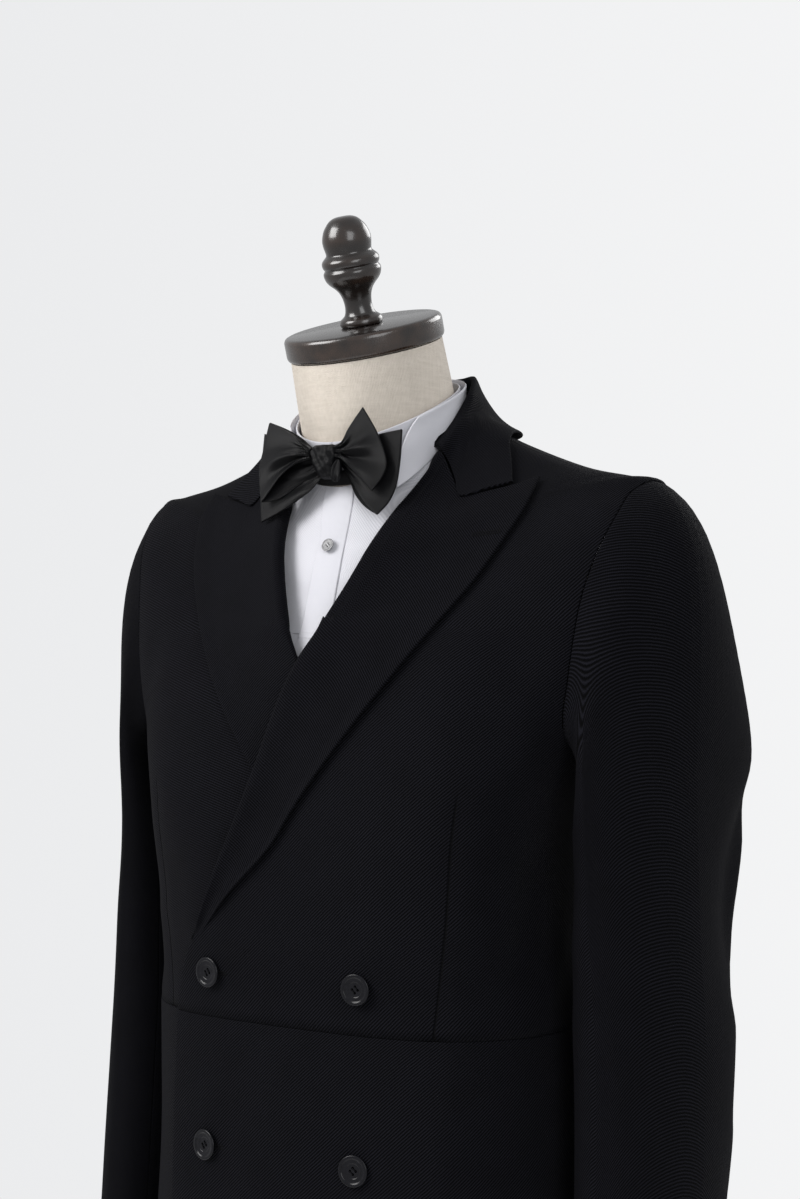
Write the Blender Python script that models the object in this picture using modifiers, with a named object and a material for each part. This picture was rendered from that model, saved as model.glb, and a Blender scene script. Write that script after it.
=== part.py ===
# A double-breasted evening jacket with its dress shirt and bow tie, worn by a limbless
# linen dress form on a pole and a round base. Metres, +Z up, the front faces -Y and the
# wearer's left is +X. The origin is the middle of the base's underside.
import math

import bmesh
import bpy
import numpy as np

# Cloth and the room between its layers
SEAM_GAP = 0.0003
LAYER_GAP = 0.0006
LAPEL_GAP = 0.0009
JACKET_WALL = 0.0020
LAPEL_WALL = 0.0020
SHIRT_WALL = 0.0012
BOW_WALL = 0.0014

# The jacket's outer face as rings, hem to neck. Columns: height at the front, side and back;
# half width; depth to the front and back; how square the front and back corners are (2 is an
# ellipse); how much the front slants back on its way to the side; how much the ring is softened.
BODY_RINGS = np.array([
    (0.7450, 0.7450, 0.7450, 0.1800, 0.1340, 0.1260, 2.50, 2.4, 0.00, 0.05),
    (0.8500, 0.8500, 0.8500, 0.1750, 0.1330, 0.1210, 2.50, 2.4, 0.00, 0.05),
    (0.9500, 0.9500, 0.9500, 0.1700, 0.1310, 0.1090, 2.50, 2.4, 0.00, 0.05),
    (1.0480, 1.0480, 1.0480, 0.1670, 0.1260, 0.0940, 2.80, 2.4, 0.00, 0.05),
    (1.1200, 1.1200, 1.1200, 0.1590, 0.1255, 0.0920, 3.44, 2.4, 0.00, 0.05),
    (1.1900, 1.1900, 1.1900, 0.1638, 0.1217, 0.0990, 3.77, 2.4, -0.08, 0.05),
    (1.2600, 1.2600, 1.2600, 0.1939, 0.1186, 0.1090, 3.08, 2.4, 0.03, 0.05),
    (1.3180, 1.3260, 1.3300, 0.2096, 0.1106, 0.1150, 5.04, 2.3, 0.31, 0.06),
    (1.3280, 1.3926, 1.3830, 0.2280, 0.1099, 0.1130, 6.90, 2.2, 0.58, 0.08),
    (1.3587, 1.4272, 1.4130, 0.2285, 0.1040, 0.1040, 4.40, 2.1, 0.86, 0.10),
    (1.3738, 1.4329, 1.4340, 0.2068, 0.0982, 0.0960, 1.67, 2.1, 0.61, 0.10),
    (1.3920, 1.4417, 1.4540, 0.1656, 0.0921, 0.0850, 1.32, 2.1, 0.46, 0.10),
    (1.4045, 1.4610, 1.4720, 0.1129, 0.0837, 0.0750, 1.15, 2.1, 0.20, 0.10),
    (1.4170, 1.4770, 1.4860, 0.0790, 0.0745, 0.0670, 1.50, 2.1, 0.00, 0.08),
])
WAIST_ROW = 3.0
NECK_ROW = float(len(BODY_RINGS) - 1)
RING_STEPS = 240

# The front edge, which turns back as the lapel above the break. Columns: height; distance of
# the left and of the right front's edge from the middle of the body (negative is across it).
FRONT_EDGE = np.array([
    (0.7450, -0.0940, -0.0940),
    (0.9200, -0.0970, -0.0970),
    (1.0400, -0.0990, -0.0990),
    (1.0615, -0.0985, -0.0985),
    (1.0750, -0.0940, -0.0940),
    (1.0900, -0.0860, -0.0860),
    (1.1050, -0.0760, -0.0760),
    (1.1630, -0.0500, -0.0500),
    (1.2280, -0.0240, -0.0250),
    (1.2984, 0.0034, 0.0000),
    (1.3180, 0.0139, 0.0112),
    (1.3393, 0.0217, 0.0207),
    (1.3609, 0.0299, 0.0299),
    (1.3828, 0.0382, 0.0382),
    (1.4055, 0.0466, 0.0466),
    (1.4367, 0.0590, 0.0590),
    (1.4530, 0.0642, 0.0642),
    (1.4620, 0.0745, 0.0745),
    (1.4800, 0.0830, 0.0830),
])
# The lapel's outer edge from its foot to the tip of the peak: height, distance out.
LAPEL_EDGE = np.array([
    (1.0980, -0.0760),
    (1.1375, -0.0415),
    (1.1700, -0.0090),
    (1.1980, 0.0109),
    (1.2380, 0.0421),
    (1.2882, 0.0797),
    (1.3314, 0.1077),
    (1.3831, 0.1350),
    (1.4103, 0.1438),
    (1.4290, 0.1445),
])
# The lapel's top edge from the roll down the gorge seam and out to the peak: distance out, height.
GORGE = np.array([
    (0.0640, 1.4530),
    (0.0916, 1.4157),
    (0.1445, 1.4282),
])
# The collar's front edge from the roll down the gorge seam and out to its corner.
COLLAR_FRONT = np.array([
    (0.0665, 1.4555),
    (0.0921, 1.4172),
    (0.1258, 1.4265),
])
ROLL_RISE = 0.0033
NECK_ROLL_RISE = 0.0048

# The centre back, in quarters of a turn from the front
CENTRE_BACK = 2.0
FRONT_COLUMNS = 11
BACK_COLUMNS = 8
OVERLAP_RISE = 0.0036

# The armhole seam from the shoulder down the front to the underarm, then up the back:
# turn from the front (1 is the side), ring row.
ARMHOLE_FRONT = np.array([
    (0.985, 9.08),
    (0.930, 8.93),
    (0.880, 8.73),
    (0.839, 8.44),
    (0.808, 8.20),
    (0.788, 8.03),
    (0.769, 7.82),
    (0.756, 7.61),
    (0.747, 7.41),
    (0.743, 7.19),
    (0.742, 6.93),
    (0.743, 6.67),
    (0.747, 6.39),
    (0.754, 6.08),
    (0.785, 5.83),
    (0.860, 5.70),
    (0.975, 5.66),
    (1.100, 5.66),
])
ARMHOLE_BACK = np.array([
    (1.100, 5.66),
    (1.230, 5.70),
    (1.335, 5.88),
    (1.390, 6.20),
    (1.405, 6.70),
    (1.395, 7.20),
    (1.360, 7.80),
    (1.290, 8.30),
    (1.180, 8.75),
    (1.080, 9.00),
    (0.985, 9.08),
])

# A sleeve's level rings. Columns: height; middle's distance out and back; half width across
# and along; turn of the long way from straight ahead, in radians; how much the outer front
# corner is cut back.
SLEEVE_RINGS = np.array([
    (1.2250, 0.2190, 0.0226, 0.0262, 0.0930, 0.200, 0.50),
    (1.1750, 0.2125, 0.0238, 0.0335, 0.0885, 0.150, 0.45),
    (1.1100, 0.2095, 0.0230, 0.0378, 0.0835, 0.075, 0.40),
    (1.0400, 0.2118, 0.0221, 0.0400, 0.0795, 0.068, 0.34),
    (0.9800, 0.2130, 0.0188, 0.0391, 0.0770, 0.070, 0.28),
    (0.9200, 0.2146, 0.0140, 0.0378, 0.0745, 0.094, 0.22),
    (0.8600, 0.2165, 0.0070, 0.0360, 0.0700, 0.130, 0.18),
    (0.8000, 0.2180, -0.0040, 0.0345, 0.0650, 0.170, 0.15),
])
SLEEVE_CORNER = 2.3
# How far the top ring dips under the arm
UNDERARM_DIP = 0.022
SLEEVE_COLUMNS = 20
CAP_ROWS = 7
SLEEVE_ROWS = 8
# How a sleeve's head leaves the armhole at the shoulder, front and back: out, back, down
HEAD_LEAVES = np.array([
    (0.80, 0.00, -0.45),
    (0.42, -0.05, -0.75),
    (0.80, 0.45, -0.45),
])
HEAD_FULLNESS = 0.90
# Where the two sleeve seams run, counted in columns from the shoulder round the front
FRONT_ARM_SEAM = 7
HIND_ARM_SEAM = 13

# Buttons
BUTTON_ACROSS = 0.0216
BUTTON_THICK = 0.0032
BUTTON_COLUMN = 0.0622
BUTTON_HEIGHTS = (1.0800, 0.9590)
# How far each row of buttons, then the shirt's button, stands off its cloth
BUTTON_LIFTS = (0.0006, 0.0001)
SHIRT_BUTTON_LIFT = 0.0005
SHIRT_BUTTON_ACROSS = 0.0100
SHIRT_BUTTON_THICK = 0.0018

# The jacket's collar. Its fold from the centre back to the roll: how far along, point.
COLLAR_FOLD = np.array([
    (0.00, 0.0000, 0.0600, 1.5130),
    (0.25, 0.0370, 0.0500, 1.5130),
    (0.50, 0.0645, 0.0240, 1.5085),
    (0.70, 0.0740, -0.0020, 1.4930),
    (0.86, 0.0705, -0.0230, 1.4715),
    (1.00, 0.0655, -0.0365, 1.4580),
])
# Its outer edge over the same run: how far along, a point near the body under it.
COLLAR_EDGE = np.array([
    (0.00, 0.0000, 0.0790, 1.4620),
    (0.25, 0.0430, 0.0700, 1.4620),
    (0.50, 0.0860, 0.0400, 1.4620),
    (0.70, 0.1070, 0.0020, 1.4590),
    (0.86, 0.1172, -0.0200, 1.4450),
    (1.00, 0.1258, -0.0334, 1.4265),
])
COLLAR_FOLD_WIDTH = 0.0046
COLLAR_FOLD_DROP = 0.0028
COLLAR_BULGE = -0.0040
COLLAR_EASE = 0.0022
COLLAR_NECK_EASE = 0.0014
COLLAR_SEAM_GAP = 0.0012

# Shirt
SHIRT_HEM_ROW = 0.55
SHIRT_NECK_ROW = 11.0
SHIRT_DROP_BODY = 0.0068
SHIRT_DROP_SHOULDER = 0.0029
SHIRT_DROP_CHEST = 0.0118
PLACKET_HALF = 0.0137
SHIRT_BUTTON_HEIGHT = 1.3870
# The shirt's neckband and the leaf folded over it are rings round an axis that leans forward.
COLLAR_LEAN = math.radians(17.3)
COLLAR_MIDDLE = np.array([0.0, -0.0175, 1.4925])
COLLAR_FRONT_DIP = 0.0145
BAND_RADIUS = 0.0620
BAND_HEIGHT = 0.0330
TIE_BAND_RADIUS = 0.0638
TIE_BAND_TOP = -0.0110
TIE_BAND_FOOT = -0.0280
LEAF_RADIUS = 0.0658
LEAF_FOLD_RADIUS = 0.0672
LEAF_FROM = math.radians(60)
LEAF_POINT_FROM = math.radians(38)
# The leaf's lower edge: degrees from the front, radius, drop below the fold.
LEAF_EDGE = np.array([
    (38.0, 0.0800, 0.0400),
    (60.0, 0.0671, 0.0340),
    (80.0, 0.0664, 0.0270),
    (130.0, 0.0662, 0.0290),
    (180.0, 0.0662, 0.0320),
])

# Bow tie. The knot's level rings: height, right and left end, front and back.
KNOT_RINGS = np.array([
    (1.4318, -0.0050, 0.0060, -0.0810, -0.0746),
    (1.4335, -0.0070, 0.0080, -0.0842, -0.0734),
    (1.4390, -0.0100, 0.0095, -0.0872, -0.0730),
    (1.4450, -0.0122, 0.0108, -0.0882, -0.0744),
    (1.4510, -0.0130, 0.0112, -0.0876, -0.0764),
    (1.4548, -0.0118, 0.0098, -0.0856, -0.0792),
    (1.4558, -0.0090, 0.0070, -0.0846, -0.0815),
])
# Each wing's far edge from the upper tip to the lower: distance out, height.
RIGHT_FRONT_WING = ((-0.0538, 1.4763), (-0.0600, 1.4620), (-0.0645, 1.4440), (-0.0640, 1.4290), (-0.0596, 1.4176))
RIGHT_BACK_WING = ((-0.0606, 1.4675), (-0.0655, 1.4500), (-0.0650, 1.4330), (-0.0632, 1.4170), (-0.0622, 1.4025))
LEFT_FRONT_WING = ((0.0303, 1.4816), (0.0428, 1.4620), (0.0490, 1.4475), (0.0495, 1.4360), (0.0367, 1.4215))
LEFT_BACK_WING = ((0.0600, 1.4650), (0.0598, 1.4520), (0.0582, 1.4380), (0.0520, 1.4200), (0.0405, 1.4048))
WING_FRONT = -0.0848
WING_BACK = -0.0800
WING_SWEEP = 0.10
RIGHT_WING_ROOT = 0.0134
LEFT_WING_ROOT = 0.0116

# Form and stand. The form's neck rings: distance up the leaning axis, radius.
FORM_FOOT_HEIGHT = 0.7700
FORM_COLUMNS = 32
FORM_LAST_ROW = 12.7
FORM_GAP = 0.0024
FORM_SLACK = 0.0060
FORM_NECK_GAP = 0.0013
FORM_HALF = 0.1700
FORM_ROUND = 0.0180
NECK_LEAN = math.radians(20.0)
CAP_TOP = np.array([0.0, -0.0397, 1.5497])
NECK_RINGS = np.array([
    (-0.0780, 0.0592),
    (-0.0600, 0.0585),
    (-0.0400, 0.0577),
    (-0.0183, 0.0568),
])
# Turned pieces: distance up from the cap's top face or the floor, radius.
CAP_PROFILE = ((-0.0180, 0.0555), (-0.0172, 0.0580), (-0.0150, 0.0592), (-0.0030, 0.0592), (-0.0008, 0.0580), (0.0, 0.0555))
FINIAL_PROFILE = (
    (0.0003, 0.0150),
    (0.0030, 0.0158),
    (0.0060, 0.0150),
    (0.0110, 0.0106),
    (0.0190, 0.0104),
    (0.0260, 0.0125),
    (0.0320, 0.0180),
    (0.0375, 0.0210),
    (0.0410, 0.0212),
    (0.0435, 0.0202),
    (0.0460, 0.0211),
    (0.0495, 0.0208),
    (0.0530, 0.0176),
    (0.0560, 0.0172),
    (0.0640, 0.0179),
    (0.0720, 0.0152),
    (0.0775, 0.0105),
    (0.0800, 0.0050),
)
POLE_RADIUS = 0.0140
BASE_PROFILE = ((0.0, 0.1880), (0.0020, 0.1900), (0.0120, 0.1900), (0.0160, 0.1870), (0.0200, 0.1200), (0.0230, 0.0300))


def smooth_step(t):
    t = np.clip(t, 0.0, 1.0)
    return t * t * (3.0 - 2.0 * t)


def catmull(points, t):
    a, b, c, d = points
    return 0.5 * (
        2 * b + (c - a) * t + (2 * a - 5 * b + 4 * c - d) * t ** 2 + (3 * b - a - 3 * c + d) * t ** 3
    )


def curve_through(keys, values, at):
    """A smooth curve through values given at rising keys, read at other keys."""
    keys = np.asarray(keys, float)
    values = np.asarray(values, float)
    at = np.clip(np.asarray(at, float), keys[0], keys[-1])
    slopes = np.gradient(values, keys, axis=0)
    i = np.clip(np.searchsorted(keys, at, side="right") - 1, 0, len(keys) - 2)
    span = keys[i + 1] - keys[i]
    t = (at - keys[i]) / span
    if values.ndim > 1:
        t = t[..., None]
        span = span[..., None]
    h00 = 2 * t ** 3 - 3 * t ** 2 + 1
    h10 = t ** 3 - 2 * t ** 2 + t
    h01 = 3 * t ** 2 - 2 * t ** 3
    h11 = t ** 3 - t ** 2
    return h00 * values[i] + h10 * span * slopes[i] + h01 * values[i + 1] + h11 * span * slopes[i + 1]


def unit(vectors):
    return vectors / np.linalg.norm(vectors, axis=-1, keepdims=True)


def quarter_of_ring(half_width, depth, power, slant):
    """A quarter of a squared ellipse, centre line to side, with the share of arc at each point."""
    angle = np.linspace(0.0, math.pi / 2, 400)
    x = half_width * np.sin(angle) ** (2 / power)
    y = depth * np.clip(np.cos(angle), 0.0, 1.0) ** (2 / power) * (1 - slant * x / half_width)
    y[-1] = 0.0
    arc = np.concatenate([[0.0], np.cumsum(np.hypot(np.diff(x), np.diff(y)))])
    return x, y, arc / arc[-1]


def body_ring(row):
    z_front, z_side, z_back, half_width, front, back, front_power, back_power, slant, soft = row
    q = np.linspace(-2.0, 2.0, RING_STEPS, endpoint=False)
    turn = np.abs(q)
    facing = turn <= 1
    fx, fy, fa = quarter_of_ring(half_width, front, front_power, slant)
    bx, by, ba = quarter_of_ring(half_width, back, back_power, 0.0)
    x = np.where(facing, np.interp(turn, fa, fx), np.interp(2 - turn, ba, bx)) * np.sign(q)
    y = np.where(facing, -np.interp(turn, fa, fy), np.interp(2 - turn, ba, by))
    near = np.where(facing, turn, 2 - turn)
    z_end = np.where(facing, z_front, z_back)
    z = z_side + (z_end - z_side) * np.cos(math.pi / 2 * near) ** 2
    steps = (np.arange(RING_STEPS) + RING_STEPS // 2) % RING_STEPS - RING_STEPS // 2
    weight = np.exp(-0.5 * (steps * 4 / RING_STEPS / soft) ** 2)
    weight = np.fft.rfft(weight / weight.sum())
    x = np.fft.irfft(np.fft.rfft(x) * weight, RING_STEPS)
    y = np.fft.irfft(np.fft.rfft(y) * weight, RING_STEPS)
    return np.stack([x, y, z], axis=1)


BODY_NET = np.array([body_ring(row) for row in BODY_RINGS])


def body(q, v):
    """The jacket's outer face. q turns from 0 at the front to 1 at the left side and 2 at the
    back; v counts rings from the hem up."""
    q, v = np.broadcast_arrays(np.asarray(q, float), np.asarray(v, float))
    place = ((q + 2) % 4) * RING_STEPS / 4
    column = np.floor(place).astype(int)
    across = (place - column)[..., None]
    v = np.clip(v, 0.0, NECK_ROW)
    row = np.minimum(np.floor(v).astype(int), int(NECK_ROW) - 1)
    up = (v - row)[..., None]
    lines = []
    for step in (-1, 0, 1, 2):
        k = np.clip(row + step, 0, int(NECK_ROW))
        near = [BODY_NET[k, (column + side) % RING_STEPS] for side in (-1, 0, 1, 2)]
        lines.append(catmull(near, across))
    first = (row == 0)[..., None]
    last = (row == int(NECK_ROW) - 1)[..., None]
    lines[0] = np.where(first, 2 * lines[1] - lines[2], lines[0])
    lines[3] = np.where(last, 2 * lines[2] - lines[1], lines[3])
    return catmull(lines, up)


def body_normal(q, v):
    step = 0.004
    along = body(np.add(q, step), v) - body(np.subtract(q, step), v)
    upward = body(q, np.minimum(np.add(v, step), NECK_ROW)) - body(q, np.maximum(np.subtract(v, step), 0))
    return unit(np.cross(along, upward))


def raised(q, v, rise):
    return body(q, v) + body_normal(q, v) * np.asarray(rise)[..., None]


def step_of(q, v, length):
    """How far to turn for a given length along the ring."""
    step = 0.004
    speed = np.linalg.norm(body(np.add(q, step), v) - body(np.subtract(q, step), v), axis=-1) / (2 * step)
    return length / speed


def find_on_body(axes, wanted, q_range, v_range):
    """The ring coordinates of points given by two of their three coordinates."""
    wanted = np.atleast_2d(np.asarray(wanted, float))
    qs, vs = np.meshgrid(np.linspace(*q_range, 60), np.linspace(*v_range, 120))
    net = body(qs, vs)[..., axes].reshape(-1, 2)
    nearest = ((net[None] - wanted[:, None]) ** 2).sum(axis=2).argmin(axis=1)
    q = qs.ravel()[nearest]
    v = vs.ravel()[nearest]
    small = 1e-3
    for _ in range(12):
        here = body(q, v)[:, axes]
        by_q = (body(q + small, v)[:, axes] - body(q - small, v)[:, axes]) / (2 * small)
        by_v = (body(q, v + small)[:, axes] - body(q, v - small)[:, axes]) / (2 * small)
        miss = wanted - here
        det = by_q[:, 0] * by_v[:, 1] - by_q[:, 1] * by_v[:, 0]
        det = np.where(np.abs(det) < 1e-8, 1e-8, det)
        q = q + np.clip((miss[:, 0] * by_v[:, 1] - miss[:, 1] * by_v[:, 0]) / det, -0.05, 0.05)
        v = v + np.clip((miss[:, 1] * by_q[:, 0] - miss[:, 0] * by_q[:, 1]) / det, -0.3, 0.3)
        v = np.clip(v, 0.0, NECK_ROW)
    return q, v


def on_front(x, z):
    """Ring coordinates of points on the front, by distance out and height."""
    x = np.asarray(x, float)
    shape = x.shape
    side = np.where(x.ravel() < 0, -1.0, 1.0)
    wanted = np.stack([np.abs(x).ravel(), np.asarray(z, float).ravel()], axis=1)
    q, v = find_on_body([0, 2], wanted, (0.0, 1.0), (1.0, NECK_ROW))
    return (q * side).reshape(shape), v.reshape(shape)


def front_edge_at(z, side):
    return curve_through(FRONT_EDGE[:, 0], FRONT_EDGE[:, 1 if side > 0 else 2], z)


def edge_turn(v, side):
    """Where the front edge crosses each row, in ring turns, for the left (1) or right (-1) front."""
    low = np.full(len(v), -0.75)
    high = np.full(len(v), 0.98)
    for _ in range(40):
        middle = 0.5 * (low + high)
        here = body(middle * side, v)
        inside = here[:, 0] * side < front_edge_at(here[:, 2], side)
        low = np.where(inside, middle, low)
        high = np.where(inside, high, middle)
    return 0.5 * (low + high)


def left_rise(q, v):
    """How far the left front stands off the body, over the right front and its lapel."""
    here = body(q, v)
    x = here[..., 0]
    z = here[..., 2]
    full = OVERLAP_RISE + OVERLAP_RISE * smooth_step((z - 1.062) / 0.035)
    return full * (1 - smooth_step((x - 0.112) / 0.05)) * (1 - smooth_step((z - 1.300) / 0.06))


def right_rise(q, v):
    return np.zeros(np.broadcast(q, v).shape)


def even_steps(points, count):
    """Points at even steps along a polyline of ring coordinates, measured on the body."""
    fine = np.linspace(0.0, len(points) - 1.0, 400)
    keys = np.arange(len(points))
    path = curve_through(keys, points, fine)
    place = body(path[:, 0], path[:, 1])
    reach = np.concatenate([[0.0], np.cumsum(np.linalg.norm(np.diff(place, axis=0), axis=1))])
    return curve_through(keys, points, np.interp(np.linspace(0.0, reach[-1], count), reach, fine))


def armhole():
    """The armhole seam from the shoulder round the front, in ring turns and rows, left side."""
    half = SLEEVE_COLUMNS // 2 + 1
    front = even_steps(ARMHOLE_FRONT, half)
    hind = even_steps(ARMHOLE_BACK, half)
    seam = np.concatenate([front, hind[1:-1]])
    return seam[:, 0], seam[:, 1]


ARMHOLE_Q, ARMHOLE_V = armhole()
HALF_TURN = SLEEVE_COLUMNS // 2
SHOULDER_SEAM = float(ARMHOLE_Q[0])
UNDERARM_SEAM = float(ARMHOLE_Q[HALF_TURN])


def grid_normals(points, closed):
    """Normals of a net of points: the columns run round, the rows run down or up."""
    if closed:
        across = np.roll(points, -1, axis=1) - np.roll(points, 1, axis=1)
    else:
        across = np.gradient(points, axis=1)
    along = np.gradient(points, axis=0)
    return unit(np.cross(across, along))


def make_material(name, colour, roughness, metallic=0.0):
    material = bpy.data.materials.new(name)
    material.use_nodes = True
    shader = material.node_tree.nodes["Principled BSDF"]
    shader.inputs["Base Color"].default_value = (*colour, 1.0)
    shader.inputs["Roughness"].default_value = roughness
    shader.inputs["Metallic"].default_value = metallic
    return material


def add_object(name, mesh, material, smooth=True):
    if smooth:
        mesh.shade_smooth()
        mesh.set_sharp_from_angle(angle=math.radians(40))
    mesh.materials.append(material)
    obj = bpy.data.objects.new(name, mesh)
    PARTS.objects.link(obj)
    return obj


def mesh_from(name, vertices, faces):
    mesh = bpy.data.meshes.new(name)
    mesh.from_pydata([tuple(map(float, p)) for p in vertices], [], [tuple(map(int, f)) for f in faces])
    work = bmesh.new()
    work.from_mesh(mesh)
    bmesh.ops.recalc_face_normals(work, faces=work.faces)
    work.to_mesh(mesh)
    work.free()
    mesh.update()
    return mesh


def wall(name, outer, inner, material, closed=False):
    """A cloth wall between two nets of points with the same rows and columns."""
    rows, columns = outer.shape[:2]
    count = rows * columns
    faces = []
    spans = columns if closed else columns - 1
    for i in range(rows - 1):
        for j in range(spans):
            k = (j + 1) % columns
            a, b, c, d = i * columns + j, i * columns + k, (i + 1) * columns + k, (i + 1) * columns + j
            faces.append((a, b, c, d))
            faces.append((count + d, count + c, count + b, count + a))
    for i in (0, rows - 1):
        for j in range(spans):
            k = (j + 1) % columns
            a, b = i * columns + j, i * columns + k
            faces.append((a, b, count + b, count + a))
    if not closed:
        for j in (0, columns - 1):
            for i in range(rows - 1):
                a, b = i * columns + j, (i + 1) * columns + j
                faces.append((a, b, count + b, count + a))
    vertices = np.concatenate([outer.reshape(-1, 3), inner.reshape(-1, 3)])
    return add_object(name, mesh_from(name, vertices, faces), material)


def loft(name, rings, material):
    """A closed solid through rings of the same count, with flat ends."""
    rows, columns = rings.shape[:2]
    faces = [tuple(range(columns)), tuple((rows - 1) * columns + j for j in range(columns))]
    for i in range(rows - 1):
        for j in range(columns):
            k = (j + 1) % columns
            faces.append((i * columns + j, i * columns + k, (i + 1) * columns + k, (i + 1) * columns + j))
    return add_object(name, mesh_from(name, rings.reshape(-1, 3), faces), material)


def panel(name, q, v, rise, thickness, material):
    """A piece of cloth over the body, from nets of ring turns and rows."""
    return wall(name, raised(q, v, rise), raised(q, v, rise - thickness), material)


def spread(first, last, count):
    """Nets of turns between a first and a last turn for each row."""
    share = np.linspace(0.0, 1.0, count)[None]
    return first[:, None] + (last - first)[:, None] * share


def net_between(far, far_v, near, near_v, count):
    """Nets of turns and rows between two edges of a panel."""
    share = np.linspace(0.0, 1.0, count)[None]
    q = far[:, None] + (near - far)[:, None] * share
    v = far_v[:, None] + (near_v - far_v)[:, None] * share
    return q, v


def bodice_rows(hind):
    """Rows for a bodice panel and the turn of its seam with the side, armhole or shoulder."""
    arm = np.arange(HALF_TURN, SLEEVE_COLUMNS + 1) if hind else np.arange(HALF_TURN, -1, -1)
    arm_v = ARMHOLE_V[arm % SLEEVE_COLUMNS]
    arm_q = ARMHOLE_Q[arm % SLEEVE_COLUMNS]
    low = np.linspace(WAIST_ROW, arm_v[0], 6)
    high = np.linspace(arm_v[-1], NECK_ROW, 7)
    v = np.concatenate([low[:-1], arm_v, high[1:]])
    seam = np.concatenate([
        np.full(len(low) - 1, UNDERARM_SEAM),
        arm_q,
        np.full(len(high) - 1, SHOULDER_SEAM),
    ])
    v[0] += 0.5 * SEAM_GAP / 0.072
    return v, seam


def jacket_front(side, material):
    word = "left" if side > 0 else "right"
    rise_of = left_rise if side > 0 else right_rise
    v, seam = bodice_rows(hind=False)
    seam = seam - step_of(seam, v, 0.5 * SEAM_GAP)
    even = np.linspace(v[0], v[-1], len(v))
    edge = np.minimum(edge_turn(even, side), seam - 0.03)
    q, rows = net_between(edge, even, seam, v, FRONT_COLUMNS)
    q = q * side
    panel(f"{word}_front", q, rows, rise_of(q, rows), JACKET_WALL, material)
    v = np.linspace(0.0, WAIST_ROW, 6)
    v[-1] -= 0.5 * SEAM_GAP / 0.098
    seam = np.full(len(v), UNDERARM_SEAM)
    seam = seam - step_of(seam, v, 0.5 * SEAM_GAP)
    q = spread(edge_turn(v, side), seam, FRONT_COLUMNS) * side
    rows = np.repeat(v[:, None], q.shape[1], axis=1)
    panel(f"{word}_front_skirt", q, rows, rise_of(q, rows), JACKET_WALL, material)


def jacket_back(side, material):
    word = "left" if side > 0 else "right"
    v, seam = bodice_rows(hind=True)
    seam = seam + step_of(seam, v, 0.5 * SEAM_GAP)
    even = np.linspace(v[0], v[-1], len(v))
    middle = CENTRE_BACK - step_of(np.full(len(v), CENTRE_BACK), even, 0.5 * SEAM_GAP)
    q, rows = net_between(seam, v, middle, even, BACK_COLUMNS)
    q = q * side
    panel(f"{word}_back", q, rows, right_rise(q, rows), JACKET_WALL, material)
    v = np.linspace(0.0, WAIST_ROW, 6)
    v[-1] -= 0.5 * SEAM_GAP / 0.098
    seam = np.full(len(v), UNDERARM_SEAM)
    seam = seam + step_of(seam, v, 0.5 * SEAM_GAP)
    middle = CENTRE_BACK - step_of(np.full(len(v), CENTRE_BACK), v, 0.5 * SEAM_GAP)
    q = spread(seam, middle, BACK_COLUMNS) * side
    rows = np.repeat(v[:, None], q.shape[1], axis=1)
    panel(f"{word}_back_skirt", q, rows, right_rise(q, rows), JACKET_WALL, material)


def lapel_net(side, shares, steps):
    """The lapel's outer points: columns from the roll to the edge, rows from the foot up."""
    foot_z = LAPEL_EDGE[0, 0] + 0.004
    roll_z = foot_z + (GORGE[0, 1] - foot_z) * steps
    roll = np.stack([front_edge_at(roll_z, side), roll_z], axis=1)
    edge_z = LAPEL_EDGE[0, 0] + (LAPEL_EDGE[-1, 0] - LAPEL_EDGE[0, 0]) * steps
    edge = np.stack([curve_through(LAPEL_EDGE[:, 0], LAPEL_EDGE[:, 1], edge_z), edge_z], axis=1)
    roll[-1] = GORGE[0]
    edge[-1] = GORGE[-1]
    reach = np.concatenate([[0.0], np.cumsum(np.hypot(*np.diff(GORGE, axis=0).T))])
    top = np.stack([np.interp(shares, reach / reach[-1], GORGE[:, k]) for k in (0, 1)], axis=1)
    s = shares[None, :, None]
    t = steps[:, None, None]
    foot = roll[0] + (edge[0] - roll[0]) * shares[:, None]
    net = (1 - s) * roll[:, None] + s * edge[:, None] + (1 - t) * foot[None] + t * top[None]
    net -= (1 - s) * (1 - t) * roll[0] + s * (1 - t) * edge[0] + (1 - s) * t * roll[-1] + s * t * edge[-1]
    q, v = on_front(net[..., 0] * side, net[..., 1])
    rise = left_rise(q, v) if side > 0 else right_rise(q, v)
    high = ROLL_RISE + (NECK_ROLL_RISE - ROLL_RISE) * smooth_step((steps - 0.80) / 0.20)[:, None]
    bulge = np.interp(shares, ROLL_SHARES[:, 0], ROLL_SHARES[:, 1])[None]
    if side < 0:
        bulge = bulge * smooth_step((net[..., 1] - 1.300) / 0.035)
    return q, v, rise + LAPEL_GAP + high * bulge


# How far out each column of the lapel lies, and how much of the roll's rise it keeps
ROLL_SHARES = np.array([
    (0.00, 0.10),
    (0.03, 0.80),
    (0.10, 1.00),
    (0.22, 0.68),
    (0.34, 0.28),
    (0.47, 0.04),
    (0.64, 0.00),
    (0.82, 0.00),
    (1.00, 0.00),
])


def lapel(side, material):
    word = "left" if side > 0 else "right"
    steps = np.concatenate([np.linspace(0.0, 0.75, 11), np.linspace(0.75, 1.0, 6)[1:]])
    q, v, rise = lapel_net(side, ROLL_SHARES[:, 0], steps)
    wall(f"{word}_lapel", raised(q, v, rise + LAPEL_WALL), raised(q, v, rise), material)


def mirrored(points, side):
    return points * np.array([side, 1.0, 1.0])


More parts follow.
